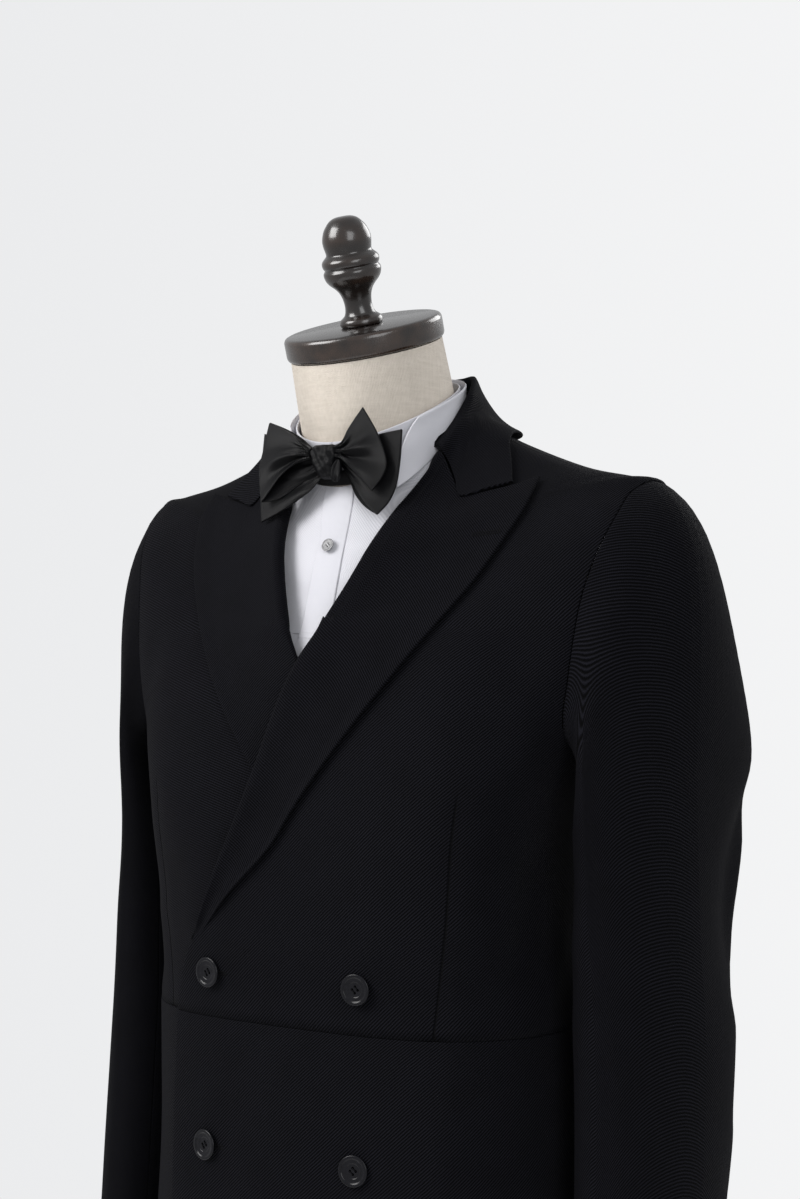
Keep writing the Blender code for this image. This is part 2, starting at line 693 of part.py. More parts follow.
def armhole_frame():
    """The armhole seam's points with the directions into the hole along the body."""
    seam = body(ARMHOLE_Q, ARMHOLE_V)
    normal = body_normal(ARMHOLE_Q, ARMHOLE_V)
    along = np.roll(seam, -1, axis=0) - np.roll(seam, 1, axis=0)
    into = unit(np.cross(along, normal))
    middle = seam.mean(axis=0)
    return seam, into * np.sign(((middle - seam) * into).sum(axis=1, keepdims=True))


def sleeve_ring(row):
    z, middle_x, middle_y, half_across, half_along, turn, slant = row
    angle = np.linspace(0.0, 2 * math.pi, SLEEVE_COLUMNS, endpoint=False)
    c = np.cos(angle)
    s = -np.sin(angle)
    across = half_across * np.sign(c) * np.abs(c) ** (2 / SLEEVE_CORNER)
    along = half_along * np.sign(s) * np.abs(s) ** (2 / SLEEVE_CORNER)
    across = across * np.where((c > 0) & (s < 0), 1 - slant * np.abs(s), 1.0)
    x = middle_x + across * math.cos(turn) + along * math.sin(turn)
    y = middle_y - across * math.sin(turn) + along * math.cos(turn)
    return np.stack([x, y, np.full_like(x, z)], axis=1)


def sleeve_net():
    """A left sleeve's outer points: columns from the shoulder round the front, rows down."""
    seam, into = armhole_frame()
    start = seam + into * SEAM_GAP
    rings = np.array([sleeve_ring(row) for row in SLEEVE_RINGS])
    angle = np.linspace(0.0, 2 * math.pi, SLEEVE_COLUMNS, endpoint=False)
    rings[0, :, 2] -= UNDERARM_DIP * np.clip(-np.cos(angle), 0.0, 1.0)
    ahead = np.clip(np.sin(angle), 0.0, 1.0)[:, None]
    behind = np.clip(-np.sin(angle), 0.0, 1.0)[:, None]
    leave = HEAD_LEAVES[0] + (HEAD_LEAVES[1] - HEAD_LEAVES[0]) * ahead + (HEAD_LEAVES[2] - HEAD_LEAVES[0]) * behind
    leave = unit(leave)
    arrive = unit(rings[1] - rings[0])
    reach = np.linalg.norm(rings[0] - start, axis=1, keepdims=True) * HEAD_FULLNESS
    rows = []
    for t in np.linspace(0.0, 1.0, CAP_ROWS):
        h00 = 2 * t ** 3 - 3 * t ** 2 + 1
        h10 = t ** 3 - 2 * t ** 2 + t
        h01 = 3 * t ** 2 - 2 * t ** 3
        h11 = t ** 3 - t ** 2
        rows.append(h00 * start + h10 * reach * leave + h01 * rings[0] + h11 * reach * arrive)
    low = np.linspace(SLEEVE_RINGS[0, 0], SLEEVE_RINGS[-1, 0], SLEEVE_ROWS)[1:]
    for z in low:
        rows.append(curve_through(-SLEEVE_RINGS[:, 0], rings.reshape(len(rings), -1), -z).reshape(-1, 3))
    return np.array(rows)


def sleeve(side, material):
    word = "left" if side > 0 else "right"
    outer = sleeve_net()
    normal = grid_normals(outer, closed=True)
    seam_normal = body_normal(ARMHOLE_Q, ARMHOLE_V)
    for row, share in ((0, 0.0), (1, 0.5)):
        normal[row] = unit(seam_normal + (normal[row] - seam_normal) * share)
    inner = outer - normal * JACKET_WALL
    columns = {
        "top_sleeve": np.arange(HIND_ARM_SEAM - SLEEVE_COLUMNS, FRONT_ARM_SEAM + 1),
        "under_sleeve": np.arange(FRONT_ARM_SEAM, HIND_ARM_SEAM + 1),
    }
    for piece, index in columns.items():
        out = outer[:, index % SLEEVE_COLUMNS].copy()
        inn = inner[:, index % SLEEVE_COLUMNS].copy()
        for net in (out, inn):
            for edge, beside in ((0, 1), (-1, -2)):
                step = net[:, beside] - net[:, edge]
                net[:, edge] += unit(step) * 0.5 * SEAM_GAP
        wall(f"{word}_{piece}", mirrored(out, side), mirrored(inn, side), material)


def nearest_on_body(points):
    """Ring coordinates of the body's nearest place to each point."""
    flat = points.reshape(-1, 3)
    qs, vs = np.meshgrid(np.linspace(-2.0, 2.0, 161), np.linspace(5.0, NECK_ROW, 81))
    net = body(qs, vs).reshape(-1, 3)
    index = ((net[None] - flat[:, None]) ** 2).sum(axis=2).argmin(axis=1)
    q = qs.ravel()[index]
    v = vs.ravel()[index]
    small = 1e-3
    for _ in range(8):
        miss = flat - body(q, v)
        by_q = (body(q + small, v) - body(q - small, v)) / (2 * small)
        by_v = (body(q, v + small) - body(q, v - small)) / (2 * small)
        qq = (by_q ** 2).sum(axis=1)
        vv = (by_v ** 2).sum(axis=1)
        qv = (by_q * by_v).sum(axis=1)
        a = (miss * by_q).sum(axis=1)
        b = (miss * by_v).sum(axis=1)
        det = np.maximum(qq * vv - qv ** 2, 1e-12)
        q = q + np.clip((a * vv - b * qv) / det, -0.05, 0.05)
        v = np.clip(v + np.clip((b * qq - a * qv) / det, -0.3, 0.3), 0.0, NECK_ROW)
    return q.reshape(points.shape[:-1]), v.reshape(points.shape[:-1])


def collar_half(along):
    """Half of the folded collar, centre back to front: its outer and inner nets."""
    fold = curve_through(COLLAR_FOLD[:, 0], COLLAR_FOLD[:, 1:], along)
    edge = curve_through(COLLAR_EDGE[:, 0], COLLAR_EDGE[:, 1:], along)
    edge_q, edge_v = nearest_on_body(edge)
    edge = raised(edge_q, edge_v, np.full(len(along), LAPEL_GAP + LAPEL_WALL))
    seam_q, _ = nearest_on_body(fold)
    seam = body(seam_q, np.full(len(along), NECK_ROW)) + np.array([0.0, 0.0, COLLAR_SEAM_GAP])
    away = unit(np.gradient(fold, axis=0)[:, [1, 0, 2]] * np.array([-1.0, 1.0, 0.0]))
    away = away * np.sign((away * (fold - np.array([0.0, -0.01, 0.0]))).sum(axis=1, keepdims=True))
    up = np.array([0.0, 0.0, 1.0])
    inside = fold - away * COLLAR_FOLD_WIDTH - up * COLLAR_FOLD_DROP
    stand = [(seam - away * JACKET_WALL, seam)]
    under = fold - away * (COLLAR_FOLD_WIDTH - 0.0018) - up * (COLLAR_FOLD_DROP + 0.0003)
    stand.append((0.5 * (stand[0][0] + inside), 0.5 * (seam + under)))
    stand.append((inside, under))
    stand.append((fold - away * 0.5 * COLLAR_FOLD_WIDTH, fold - away * 0.5 * COLLAR_FOLD_WIDTH - up * 0.0019))
    start = fold - up * COLLAR_FOLD_DROP
    shares = np.array([0.0, 0.2, 0.42, 0.62, 0.82, 1.0])
    end_x = np.interp(shares, [0.0, 0.62, 1.0], COLLAR_FRONT[:, 0])
    end_z = np.interp(shares, [0.0, 0.62, 1.0], COLLAR_FRONT[:, 1])
    end_q, end_v = on_front(end_x, end_z)
    end = raised(end_q, end_v, LAPEL_GAP + LAPEL_WALL + NECK_ROLL_RISE * (1 - smooth_step(shares / 0.45)))
    fall = []
    for k, share in enumerate(shares):
        row = start + (edge - start) * share + away * COLLAR_BULGE * 4 * share * (1 - share)
        weight = smooth_step((along - 0.55) / 0.45)[:, None]
        fall.append(row + (end[k] - row[-1]) * weight)
    fall = np.array(fall)
    q, v = nearest_on_body(fall)
    normal = body_normal(q, v)
    height = ((fall - body(q, v)) * normal).sum(axis=-1)
    least = LAPEL_GAP + LAPEL_WALL + COLLAR_EASE + COLLAR_NECK_EASE * smooth_step((fall[..., 2] - 1.450) / 0.012)
    fall = fall + normal * np.maximum(least - height, 0.0)[..., None]
    outer = np.concatenate([np.array([pair[0] for pair in stand]), fall])
    inner = np.concatenate([np.array([pair[1] for pair in stand]), fall - normal * LAPEL_WALL])
    inner[4] = fold - away * 0.0019 - up * (COLLAR_FOLD_DROP + 0.0003)
    return outer, inner


def collar(material):
    along = np.concatenate([np.linspace(0.0, 0.8, 8), np.linspace(0.8, 1.0, 5)[1:]])
    outer, inner = collar_half(along)
    flip = np.array([-1.0, 1.0, 1.0])
    outer = np.concatenate([outer[:, :0:-1] * flip, outer], axis=1)
    inner = np.concatenate([inner[:, :0:-1] * flip, inner], axis=1)
    wall("collar", outer, inner, material)


def leaning_ring(angle, radius, height):
    """Points of the shirt collar's ring, by angle from the front and height above the fold."""
    lean = COLLAR_LEAN
    axis = np.array([0.0, -math.sin(lean), math.cos(lean)])
    forward = np.array([0.0, -math.cos(lean), -math.sin(lean)])
    side = np.array([1.0, 0.0, 0.0])
    dip = COLLAR_FRONT_DIP * (0.5 + 0.5 * np.cos(angle)) ** 2
    radius, height, angle, dip = np.broadcast_arrays(radius, height, angle, dip)
    point = COLLAR_MIDDLE + axis * height[..., None] - np.array([0.0, 0.0, 1.0]) * dip[..., None]
    return point + (forward * np.cos(angle)[..., None] + side * np.sin(angle)[..., None]) * radius[..., None]


def shirt_point(q, v, more):
    """The shirt's outer face, lowered by more: over the body to the chest, then in to the neckband."""
    q, v, more = np.broadcast_arrays(np.asarray(q, float), np.asarray(v, float), more)
    low = np.minimum(v, SHIRT_NECK_ROW)
    shoulder = smooth_step((low - 8.3) / 1.2) * smooth_step((np.abs(q) - 0.42) / 0.2)
    chest = smooth_step((low - 6.2) / 1.2) * (1 - smooth_step((np.abs(q) - 0.08) / 0.30))
    drop = SHIRT_DROP_BODY + (SHIRT_DROP_SHOULDER - SHIRT_DROP_BODY) * shoulder
    drop = drop + (SHIRT_DROP_CHEST - SHIRT_DROP_BODY) * chest
    over = raised(q, low, -drop - more)
    foot = leaning_ring(q * math.pi / 2, BAND_RADIUS - more, np.full(q.shape, -BAND_HEIGHT) - 0.5 * more)
    share = np.clip((v - SHIRT_NECK_ROW) / (NECK_ROW - SHIRT_NECK_ROW), 0.0, 1.0)[..., None]
    point = over + (foot - over) * (1.4 * share - 0.4 * share ** 2)
    near_q, near_v = nearest_on_body(point)
    normal = body_normal(near_q, near_v)
    height = ((point - body(near_q, near_v)) * normal).sum(axis=-1)
    return point - normal * np.maximum(height + SHIRT_DROP_SHOULDER + more, 0.0)[..., None]


def shirt_panel(name, q, v, material):
    wall(name, shirt_point(q, v, 0.0), shirt_point(q, v, SHIRT_WALL), material)


def shirt_rows(hind):
    arm = np.arange(HALF_TURN, SLEEVE_COLUMNS + 1, 2) if hind else np.arange(HALF_TURN, -1, -2)
    arm_v = ARMHOLE_V[arm % SLEEVE_COLUMNS]
    arm_q = ARMHOLE_Q[arm % SLEEVE_COLUMNS]
    low = np.linspace(SHIRT_HEM_ROW, arm_v[0], 7)
    high = np.array([arm_v[-1], 9.7, 10.4, 11.0, 11.7, 12.35, 12.97])
    v = np.concatenate([low[:-1], arm_v, high[1:]])
    seam = np.concatenate([
        np.full(len(low) - 1, UNDERARM_SEAM),
        arm_q,
        np.full(len(high) - 1, SHOULDER_SEAM),
    ])
    return v, seam


def shirt(material):
    v, seam = shirt_rows(hind=False)
    seam = seam - step_of(seam, v, 0.5 * SEAM_GAP)
    middle = step_of(np.zeros(len(v)), v, 0.5 * SEAM_GAP)
    for side, word in ((1, "left"), (-1, "right")):
        q = spread(middle, seam, 7) * side
        shirt_panel(f"shirt_{word}_front", q, np.repeat(v[:, None], q.shape[1], axis=1), material)
    v, seam = shirt_rows(hind=True)
    seam = seam + step_of(seam, v, 0.5 * SEAM_GAP)
    back = np.full(len(v), CENTRE_BACK)
    q = np.concatenate([spread(seam, back, 7), spread(back, 2 * CENTRE_BACK - seam, 7)[:, 1:]], axis=1)
    shirt_panel("shirt_back", q, np.repeat(v[:, None], q.shape[1], axis=1), material)
    v, _ = shirt_rows(hind=False)
    reach = np.array([-1.0, -0.5, 0.0, 0.5, 1.0]) * PLACKET_HALF
    q = step_of(np.zeros_like(v), v, 1.0)[:, None] * reach[None]
    rows = np.repeat(v[:, None], 5, axis=1)
    wall(
        "shirt_placket",
        shirt_point(q, rows, -LAYER_GAP - SHIRT_WALL),
        shirt_point(q, rows, -LAYER_GAP),
        material,
    )


def ring_wall(name, angle, radius, heights, thickness, material, closed):
    angle, height = np.meshgrid(angle, heights)
    outer = leaning_ring(angle, radius, height)
    inner = leaning_ring(angle, radius - thickness, height)
    return wall(name, outer, inner, material, closed=closed)


def shirt_collar(material):
    gap = 0.5 * SEAM_GAP / BAND_RADIUS
    angle = np.linspace(gap, 2 * math.pi - gap, 33)
    heights = np.array([-BAND_HEIGHT + SEAM_GAP, -0.5 * BAND_HEIGHT, -0.0010])
    ring_wall("shirt_band", angle, BAND_RADIUS, heights, SHIRT_WALL, material, closed=False)
    share = np.linspace(0.0, 1.0, 27)
    top = LEAF_FROM + (2 * math.pi - 2 * LEAF_FROM) * share
    foot = LEAF_POINT_FROM + (2 * math.pi - 2 * LEAF_POINT_FROM) * share
    outer = []
    inner = []
    for down in (0.0, 0.06, 0.3, 0.65, 1.0):
        angle = top + (foot - top) * down
        off_front = np.degrees(np.minimum(angle, 2 * math.pi - angle))
        wide = curve_through(LEAF_EDGE[:, 0], LEAF_EDGE[:, 1], off_front)
        drop = curve_through(LEAF_EDGE[:, 0], LEAF_EDGE[:, 2], off_front)
        radius = LEAF_RADIUS + (wide - LEAF_RADIUS) * down ** 1.4
        radius = radius + (LEAF_FOLD_RADIUS - LEAF_RADIUS) * (1 - min(1.0, down / 0.3))
        outer.append(leaning_ring(angle, radius, -drop * down))
        inner.append(leaning_ring(angle, radius - SHIRT_WALL, -drop * down))
    wall("shirt_collar_leaf", np.array(outer), np.array(inner), material)


def wing(name, far_edge, plane, swelling, side, folds, material):
    """A wing of the bow, from its gathered root beside the knot to its far edge."""
    far_edge = np.array(far_edge)
    share = np.linspace(0.0, 1.0, 9)
    far = np.stack([curve_through(np.linspace(0, 1, len(far_edge)), far_edge[:, k], share) for k in (0, 1)], axis=1)
    root_out = LEFT_WING_ROOT if side > 0 else RIGHT_WING_ROOT
    root = np.stack([np.full_like(share, side * root_out), 1.4510 - 0.0130 * share], axis=1)
    rows = []
    for out in np.linspace(0.0, 1.0, 8):
        flat = root + (far - root) * out
        swell = swelling * math.sin(math.pi * min(1.0, out * 1.15)) * np.cos(folds * math.pi * (share - 0.5))
        depth = plane + WING_SWEEP * (np.abs(flat[:, 0]) - root_out) - swell
        rows.append(np.stack([flat[:, 0], depth, flat[:, 1]], axis=1))
    front = np.array(rows)
    wall(name, front, front + np.array([0.0, BOW_WALL, 0.0]), material)


def bow_tie(material):
    angle = np.linspace(0.0, 2 * math.pi, 14, endpoint=False)
    rings = []
    for z, right, left, front, back in KNOT_RINGS:
        c = np.sign(np.cos(angle)) * np.abs(np.cos(angle)) ** 0.8
        d = np.sign(np.sin(angle)) * np.abs(np.sin(angle)) ** 0.8
        x = 0.5 * (right + left) + 0.5 * (left - right) * c
        y = 0.5 * (front + back) - 0.5 * (back - front) * d
        rings.append(np.stack([x, y, np.full_like(x, z)], axis=1))
    loft("bow_knot", np.array(rings), material)
    wing("bow_right_front_wing", RIGHT_FRONT_WING, WING_FRONT, 0.0028, -1, 2.2, material)
    wing("bow_right_back_wing", RIGHT_BACK_WING, WING_BACK, 0.0012, -1, 1.6, material)
    wing("bow_left_front_wing", LEFT_FRONT_WING, WING_FRONT, 0.0028, 1, 2.2, material)
    wing("bow_left_back_wing", LEFT_BACK_WING, WING_BACK, 0.0012, 1, 1.6, material)
    angle = np.linspace(0.0, 2 * math.pi, 32, endpoint=False)
    heights = np.array([TIE_BAND_FOOT, 0.5 * (TIE_BAND_FOOT + TIE_BAND_TOP), TIE_BAND_TOP])
    ring_wall("bow_neck_band", angle, TIE_BAND_RADIUS, heights, SHIRT_WALL, material, closed=True)


def turned(name, profile, steps, material):
    """A solid turned about Z from (height, radius) pairs, by a Screw round the profile."""
    points = [(0.0, 0.0, profile[-1][0])]
    points += [(radius, 0.0, height) for height, radius in reversed(profile)]
    points.append((0.0, 0.0, profile[0][0]))
    mesh = bpy.data.meshes.new(name)
    mesh.from_pydata(points, [(i, i + 1) for i in range(len(points) - 1)], [])
    obj = add_object(name, mesh, material, smooth=False)
    screw = obj.modifiers.new("turn", "SCREW")
    screw.steps = steps
    screw.render_steps = steps
    screw.use_merge_vertices = True
    screw.merge_threshold = 0.0001
    screw.use_smooth_shade = True
    return obj


def leaning(obj, lean, place):
    obj.rotation_euler = (lean, 0.0, 0.0)
    obj.location = tuple(map(float, place))


def button(name, across, thick, rim, place, normal, steps, material):
    half = 0.5 * across
    profile = (
        (0.0, 0.62 * half),
        (0.35 * thick, 0.93 * half),
        (0.70 * thick, half),
        (0.94 * thick, 0.95 * half),
        (thick, 0.86 * half),
        (thick - 0.55 * rim, 0.70 * half),
        (thick - rim, 0.55 * half),
    )
    obj = turned(name, profile, steps, material)
    rotation = normal_turn(normal)
    obj.rotation_euler = rotation
    obj.location = tuple(map(float, place))
    return obj


def normal_turn(normal):
    """Euler turns that take +Z to a direction."""
    x, y, z = (float(value) for value in normal)
    return (math.acos(max(-1.0, min(1.0, z))), 0.0, math.atan2(x, -y))


def buttons(horn, pearl):
    for row, height in enumerate(BUTTON_HEIGHTS):
        for side, word in ((1, "left"), (-1, "right")):
            q, v = on_front(np.array([side * BUTTON_COLUMN]), np.array([height]))
            normal = body_normal(q, v)[0]
            place = raised(q, v, left_rise(q, v))[0] + normal * BUTTON_LIFTS[row]
            level = "upper" if row == 0 else "lower"
            button(f"button_{level}_{word}", BUTTON_ACROSS, BUTTON_THICK, 0.0011, place, normal, 18, horn)
    _, v = find_on_body([0, 2], np.array([[0.0, SHIRT_BUTTON_HEIGHT]]), (-0.1, 0.1), (7.0, 13.0))
    place = shirt_point(np.zeros(1), v, -LAYER_GAP - SHIRT_WALL)[0]
    below = shirt_point(np.zeros(1), v - 0.3, 0.0)[0]
    above = shirt_point(np.zeros(1), v + 0.3, 0.0)[0]
    normal = unit(np.cross(np.array([1.0, 0.0, 0.0]), above - below))
    place = place + normal * SHIRT_BUTTON_LIFT
    button("shirt_button", SHIRT_BUTTON_ACROSS, SHIRT_BUTTON_THICK, 0.0005, place, normal, 16, pearl)


def dress_form(linen, wood, metal):
    q = np.linspace(-2.0, 2.0, FORM_COLUMNS, endpoint=False)
    more = SHIRT_WALL + FORM_GAP
    rings = []
    rows, _ = shirt_rows(hind=False)
    rows[0] = (FORM_FOOT_HEIGHT - BODY_RINGS[0, 0]) / (BODY_RINGS[1, 0] - BODY_RINGS[0, 0])
    for v in (*rows[:-1], FORM_LAST_ROW):
        low = FORM_SLACK * (1 - smooth_step((v - 9.0) / 2.5))
        ring = shirt_point(q, np.full_like(q, v), more + low)
        wide = np.abs(ring[:, 0])
        past = FORM_ROUND * np.tanh(np.maximum(wide - FORM_HALF, 0.0) / FORM_ROUND)
        ring[:, 0] = np.sign(ring[:, 0]) * (np.minimum(wide, FORM_HALF) + past)
        rings.append(ring)
    turn = q * math.pi / 2
    neck = BAND_RADIUS - SHIRT_WALL - FORM_NECK_GAP
    rings.append(leaning_ring(turn, neck, np.full_like(q, -BAND_HEIGHT - FORM_GAP)))
    axis = np.array([0.0, -math.sin(NECK_LEAN), math.cos(NECK_LEAN)])
    forward = np.array([0.0, -math.cos(NECK_LEAN), -math.sin(NECK_LEAN)])
    for height, radius in NECK_RINGS:
        across = np.array([1.0, 0.0, 0.0]) * np.sin(turn)[:, None] + forward * np.cos(turn)[:, None]
        rings.append(CAP_TOP + axis * height + across * radius)
    loft("form", np.array(rings), linen)
    leaning(turned("neck_cap", CAP_PROFILE, 28, wood), NECK_LEAN, CAP_TOP)
    leaning(turned("finial", FINIAL_PROFILE, 16, wood), NECK_LEAN, CAP_TOP)
    foot = float(rings[0][0, 2])
    top = BASE_PROFILE[-1][0]
    turned("pole", ((top + SEAM_GAP, POLE_RADIUS), (foot - SEAM_GAP, POLE_RADIUS)), 24, metal)
    turned("base", BASE_PROFILE, 32, metal)


def set_scene():
    for obj in list(bpy.data.objects):
        bpy.data.objects.remove(obj)
    parts = bpy.data.collections.new("evening_jacket_on_form")
    bpy.context.scene.collection.children.link(parts)
    return parts


PARTS = set_scene()
WOOL = make_material("black_twill_wool", (0.006, 0.006, 0.008), 0.85)
COTTON = make_material("white_cotton", (0.82, 0.82, 0.86), 0.80)
SATIN = make_material("black_ribbed_satin", (0.010, 0.010, 0.013), 0.45)
HORN = make_material("black_horn", (0.012, 0.012, 0.015), 0.25)
PEARL = make_material("grey_pearl", (0.45, 0.45, 0.46), 0.30)
LINEN = make_material("beige_linen", (0.62, 0.56, 0.47), 0.90)
WOOD = make_material("dark_stained_wood", (0.020, 0.014, 0.012), 0.35)
METAL = make_material("dark_painted_steel", (0.015, 0.013, 0.012), 0.40, 0.6)


def main():
    for side in (1, -1):
        jacket_front(side, WOOL)
        jacket_back(side, WOOL)
        lapel(side, WOOL)
        sleeve(side, WOOL)
    collar(WOOL)
    shirt(COTTON)
    shirt_collar(COTTON)
    bow_tie(SATIN)
    buttons(HORN, PEARL)
    dress_form(LINEN, WOOD, METAL)


main()
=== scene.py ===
import math

import bmesh
import bpy
import numpy as np
from mathutils import Matrix, Vector


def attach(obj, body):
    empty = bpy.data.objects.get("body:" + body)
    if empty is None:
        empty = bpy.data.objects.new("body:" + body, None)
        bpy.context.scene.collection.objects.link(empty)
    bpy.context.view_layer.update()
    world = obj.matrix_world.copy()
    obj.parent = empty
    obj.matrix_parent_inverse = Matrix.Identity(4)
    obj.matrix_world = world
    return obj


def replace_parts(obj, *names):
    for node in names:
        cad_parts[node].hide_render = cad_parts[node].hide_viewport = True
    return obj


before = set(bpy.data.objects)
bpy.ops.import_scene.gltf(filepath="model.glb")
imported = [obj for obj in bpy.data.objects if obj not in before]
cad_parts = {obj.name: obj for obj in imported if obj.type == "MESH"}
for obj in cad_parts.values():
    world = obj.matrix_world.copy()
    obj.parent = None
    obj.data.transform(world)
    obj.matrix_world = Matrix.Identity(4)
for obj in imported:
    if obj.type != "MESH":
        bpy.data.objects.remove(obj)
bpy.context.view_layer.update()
scene = bpy.context.scene
scene.view_settings.view_transform = "Standard"
print("frame loaded")

# Camera, as far off, as high and as turned as the one that took the photograph
cameraView = {
    "place": (0.7937, -1.2051, 1.2930),
    "turn": 33.02,          # degrees to the left of straight on
    "tilt": 2.19,           # degrees up
    "roll": 0.69,
    "lens": 57.65,          # millimetres, for a 36 mm long side
}


def addCamera(look):
    turn = math.radians(look["turn"])
    tilt = math.radians(look["tilt"])
    roll = math.radians(look["roll"])
    ahead = Vector((-math.sin(turn) * math.cos(tilt), math.cos(turn) * math.cos(tilt), math.sin(tilt)))
    level = ahead.cross(Vector((0, 0, 1))).normalized()
    upright = level.cross(ahead)
    right = level * math.cos(roll) + upright * math.sin(roll)
    up = upright * math.cos(roll) - level * math.sin(roll)
    data = bpy.data.cameras.new("camera")
    data.lens = look["lens"]
    data.sensor_width = 36.0
    data.clip_start = 0.05
    camera = bpy.data.objects.new("camera", data)
    turned = Matrix((right, up, -ahead)).transposed().to_4x4()
    camera.matrix_world = Matrix.Translation(look["place"]) @ turned
    scene.collection.objects.link(camera)
    scene.camera = camera


addCamera(cameraView)

# Studio: pale surroundings, a pale round floor and soft light from the upper left
studio = {
    "left": (0.832, 0.838, 0.850),    # how the surroundings look, left and right
    "right": (0.896, 0.900, 0.908),
    "turnover": 0.20,       # how quickly the left tone gives way to the right one
    "glow": 0.60,           # how much of the surroundings lights the object
    "floorAcross": 3.0,
    "floorThick": 0.02,
    "floorRoughness": 0.8,
    "floorColour": (0.78, 0.78, 0.785),
    # place, aims at, width, height, watts, colour
    "lights": (
        ((-1.45, -2.10, 2.70), (0.0, 0.0, 1.25), 1.7, 1.7, 82.0, (1.0, 0.99, 0.98)),
        ((1.90, -1.60, 1.90), (0.0, 0.0, 1.10), 1.2, 1.8, 20.0, (0.98, 0.99, 1.0)),
        ((0.50, 1.80, 2.60), (0.0, 0.0, 1.30), 1.4, 1.0, 16.0, (1.0, 1.0, 1.0)),
    ),
}


def addNode(tree, kind, sockets={}, **settings):
    # a node with its settings made, and its sockets set or joined to another node's output
    node = tree.nodes.new(kind)
    for name, value in settings.items():
        setattr(node, name, value)
    for key, value in sockets.items():
        if isinstance(value, bpy.types.NodeSocket):
            tree.links.new(value, node.inputs[key])
        else:
            node.inputs[key].default_value = value
    return node


def addStudio(look):
    world = bpy.data.worlds.new("surroundings")
    world.use_nodes = True
    tree = world.node_tree
    tree.nodes.clear()
    left, right = (*look["left"], 1), (*look["right"], 1)
    turn = math.radians(cameraView["turn"])
    level = (math.cos(turn), math.sin(turn), 0.0)
    way = addNode(tree, "ShaderNodeTexCoord").outputs["Generated"]
    across = addNode(tree, "ShaderNodeVectorMath", {0: way, 1: level}, operation="DOT_PRODUCT")
    reach = {"Value": across.outputs["Value"], "From Min": -look["turnover"], "From Max": look["turnover"]}
    share = addNode(tree, "ShaderNodeMapRange", reach).outputs[0]
    tone = addNode(tree, "ShaderNodeMix", {0: share, 6: left, 7: right}, data_type="RGBA")
    seen = addNode(tree, "ShaderNodeBackground", {"Color": tone.outputs[2]})
    lit = addNode(tree, "ShaderNodeBackground", {"Color": left, "Strength": look["glow"]})
    rays = addNode(tree, "ShaderNodeLightPath").outputs["Is Camera Ray"]
    mix = addNode(tree, "ShaderNodeMixShader", {0: rays, 1: lit.outputs[0], 2: seen.outputs[0]})
    addNode(tree, "ShaderNodeOutputWorld", {0: mix.outputs[0]})
    scene.world = world
    work = bmesh.new()
    bmesh.ops.create_cone(
        work, cap_ends=True, segments=96, depth=look["floorThick"],
        radius1=0.5 * look["floorAcross"], radius2=0.5 * look["floorAcross"],
        matrix=Matrix.Translation((0, 0, -0.0004 - 0.5 * look["floorThick"])),
    )
    mesh = bpy.data.meshes.new("studio_floor")
    work.to_mesh(mesh)
    work.free()
    floor = bpy.data.objects.new("studio_floor", mesh)
    paint = bpy.data.materials.new("floor_paint")
    paint.use_nodes = True
    shader = paint.node_tree.nodes["Principled BSDF"]
    shader.inputs["Base Color"].default_value = (*look["floorColour"], 1)
    shader.inputs["Roughness"].default_value = look["floorRoughness"]
    mesh.materials.append(paint)
    scene.collection.objects.link(floor)
    for k, (place, aim, width, height, watts, colour) in enumerate(look["lights"]):
        data = bpy.data.lights.new(f"softbox{k}", "AREA")
        data.shape = "RECTANGLE"
        data.size = width
        data.size_y = height
        data.energy = watts
        data.color = colour
        light = bpy.data.objects.new(f"softbox{k}", data)
        light.location = place
        light.rotation_euler = (Vector(aim) - Vector(place)).to_track_quat("-Z", "Y").to_euler()
        scene.collection.objects.link(light)


addStudio(studio)
print("camera and studio ready")


bodyRings = np.array([
    (0.7450, 0.7450, 0.7450, 0.1800, 0.1340, 0.1260, 2.50, 2.4, 0.00, 0.05),
    (0.8500, 0.8500, 0.8500, 0.1750, 0.1330, 0.1210, 2.50, 2.4, 0.00, 0.05),
    (0.9500, 0.9500, 0.9500, 0.1700, 0.1310, 0.1090, 2.50, 2.4, 0.00, 0.05),
    (1.0480, 1.0480, 1.0480, 0.1670, 0.1260, 0.0940, 2.80, 2.4, 0.00, 0.05),
    (1.1200, 1.1200, 1.1200, 0.1590, 0.1255, 0.0920, 3.44, 2.4, 0.00, 0.05),
    (1.1900, 1.1900, 1.1900, 0.1638, 0.1217, 0.0990, 3.77, 2.4, -0.08, 0.05),
    (1.2600, 1.2600, 1.2600, 0.1939, 0.1186, 0.1090, 3.08, 2.4, 0.03, 0.05),
    (1.3180, 1.3260, 1.3300, 0.2096, 0.1106, 0.1150, 5.04, 2.3, 0.31, 0.06),
    (1.3280, 1.3926, 1.3830, 0.2280, 0.1099, 0.1130, 6.90, 2.2, 0.58, 0.08),
    (1.3587, 1.4272, 1.4130, 0.2285, 0.1040, 0.1040, 4.40, 2.1, 0.86, 0.10),
    (1.3738, 1.4329, 1.4340, 0.2068, 0.0982, 0.0960, 1.67, 2.1, 0.61, 0.10),
    (1.3920, 1.4417, 1.4540, 0.1656, 0.0921, 0.0850, 1.32, 2.1, 0.46, 0.10),
    (1.4045, 1.4610, 1.4720, 0.1129, 0.0837, 0.0750, 1.15, 2.1, 0.20, 0.10),
    (1.4170, 1.4770, 1.4860, 0.0790, 0.0745, 0.0670, 1.50, 2.1, 0.00, 0.08),
])
waistRow = 3.0
neckRow = float(len(bodyRings) - 1)
ringSteps = 240

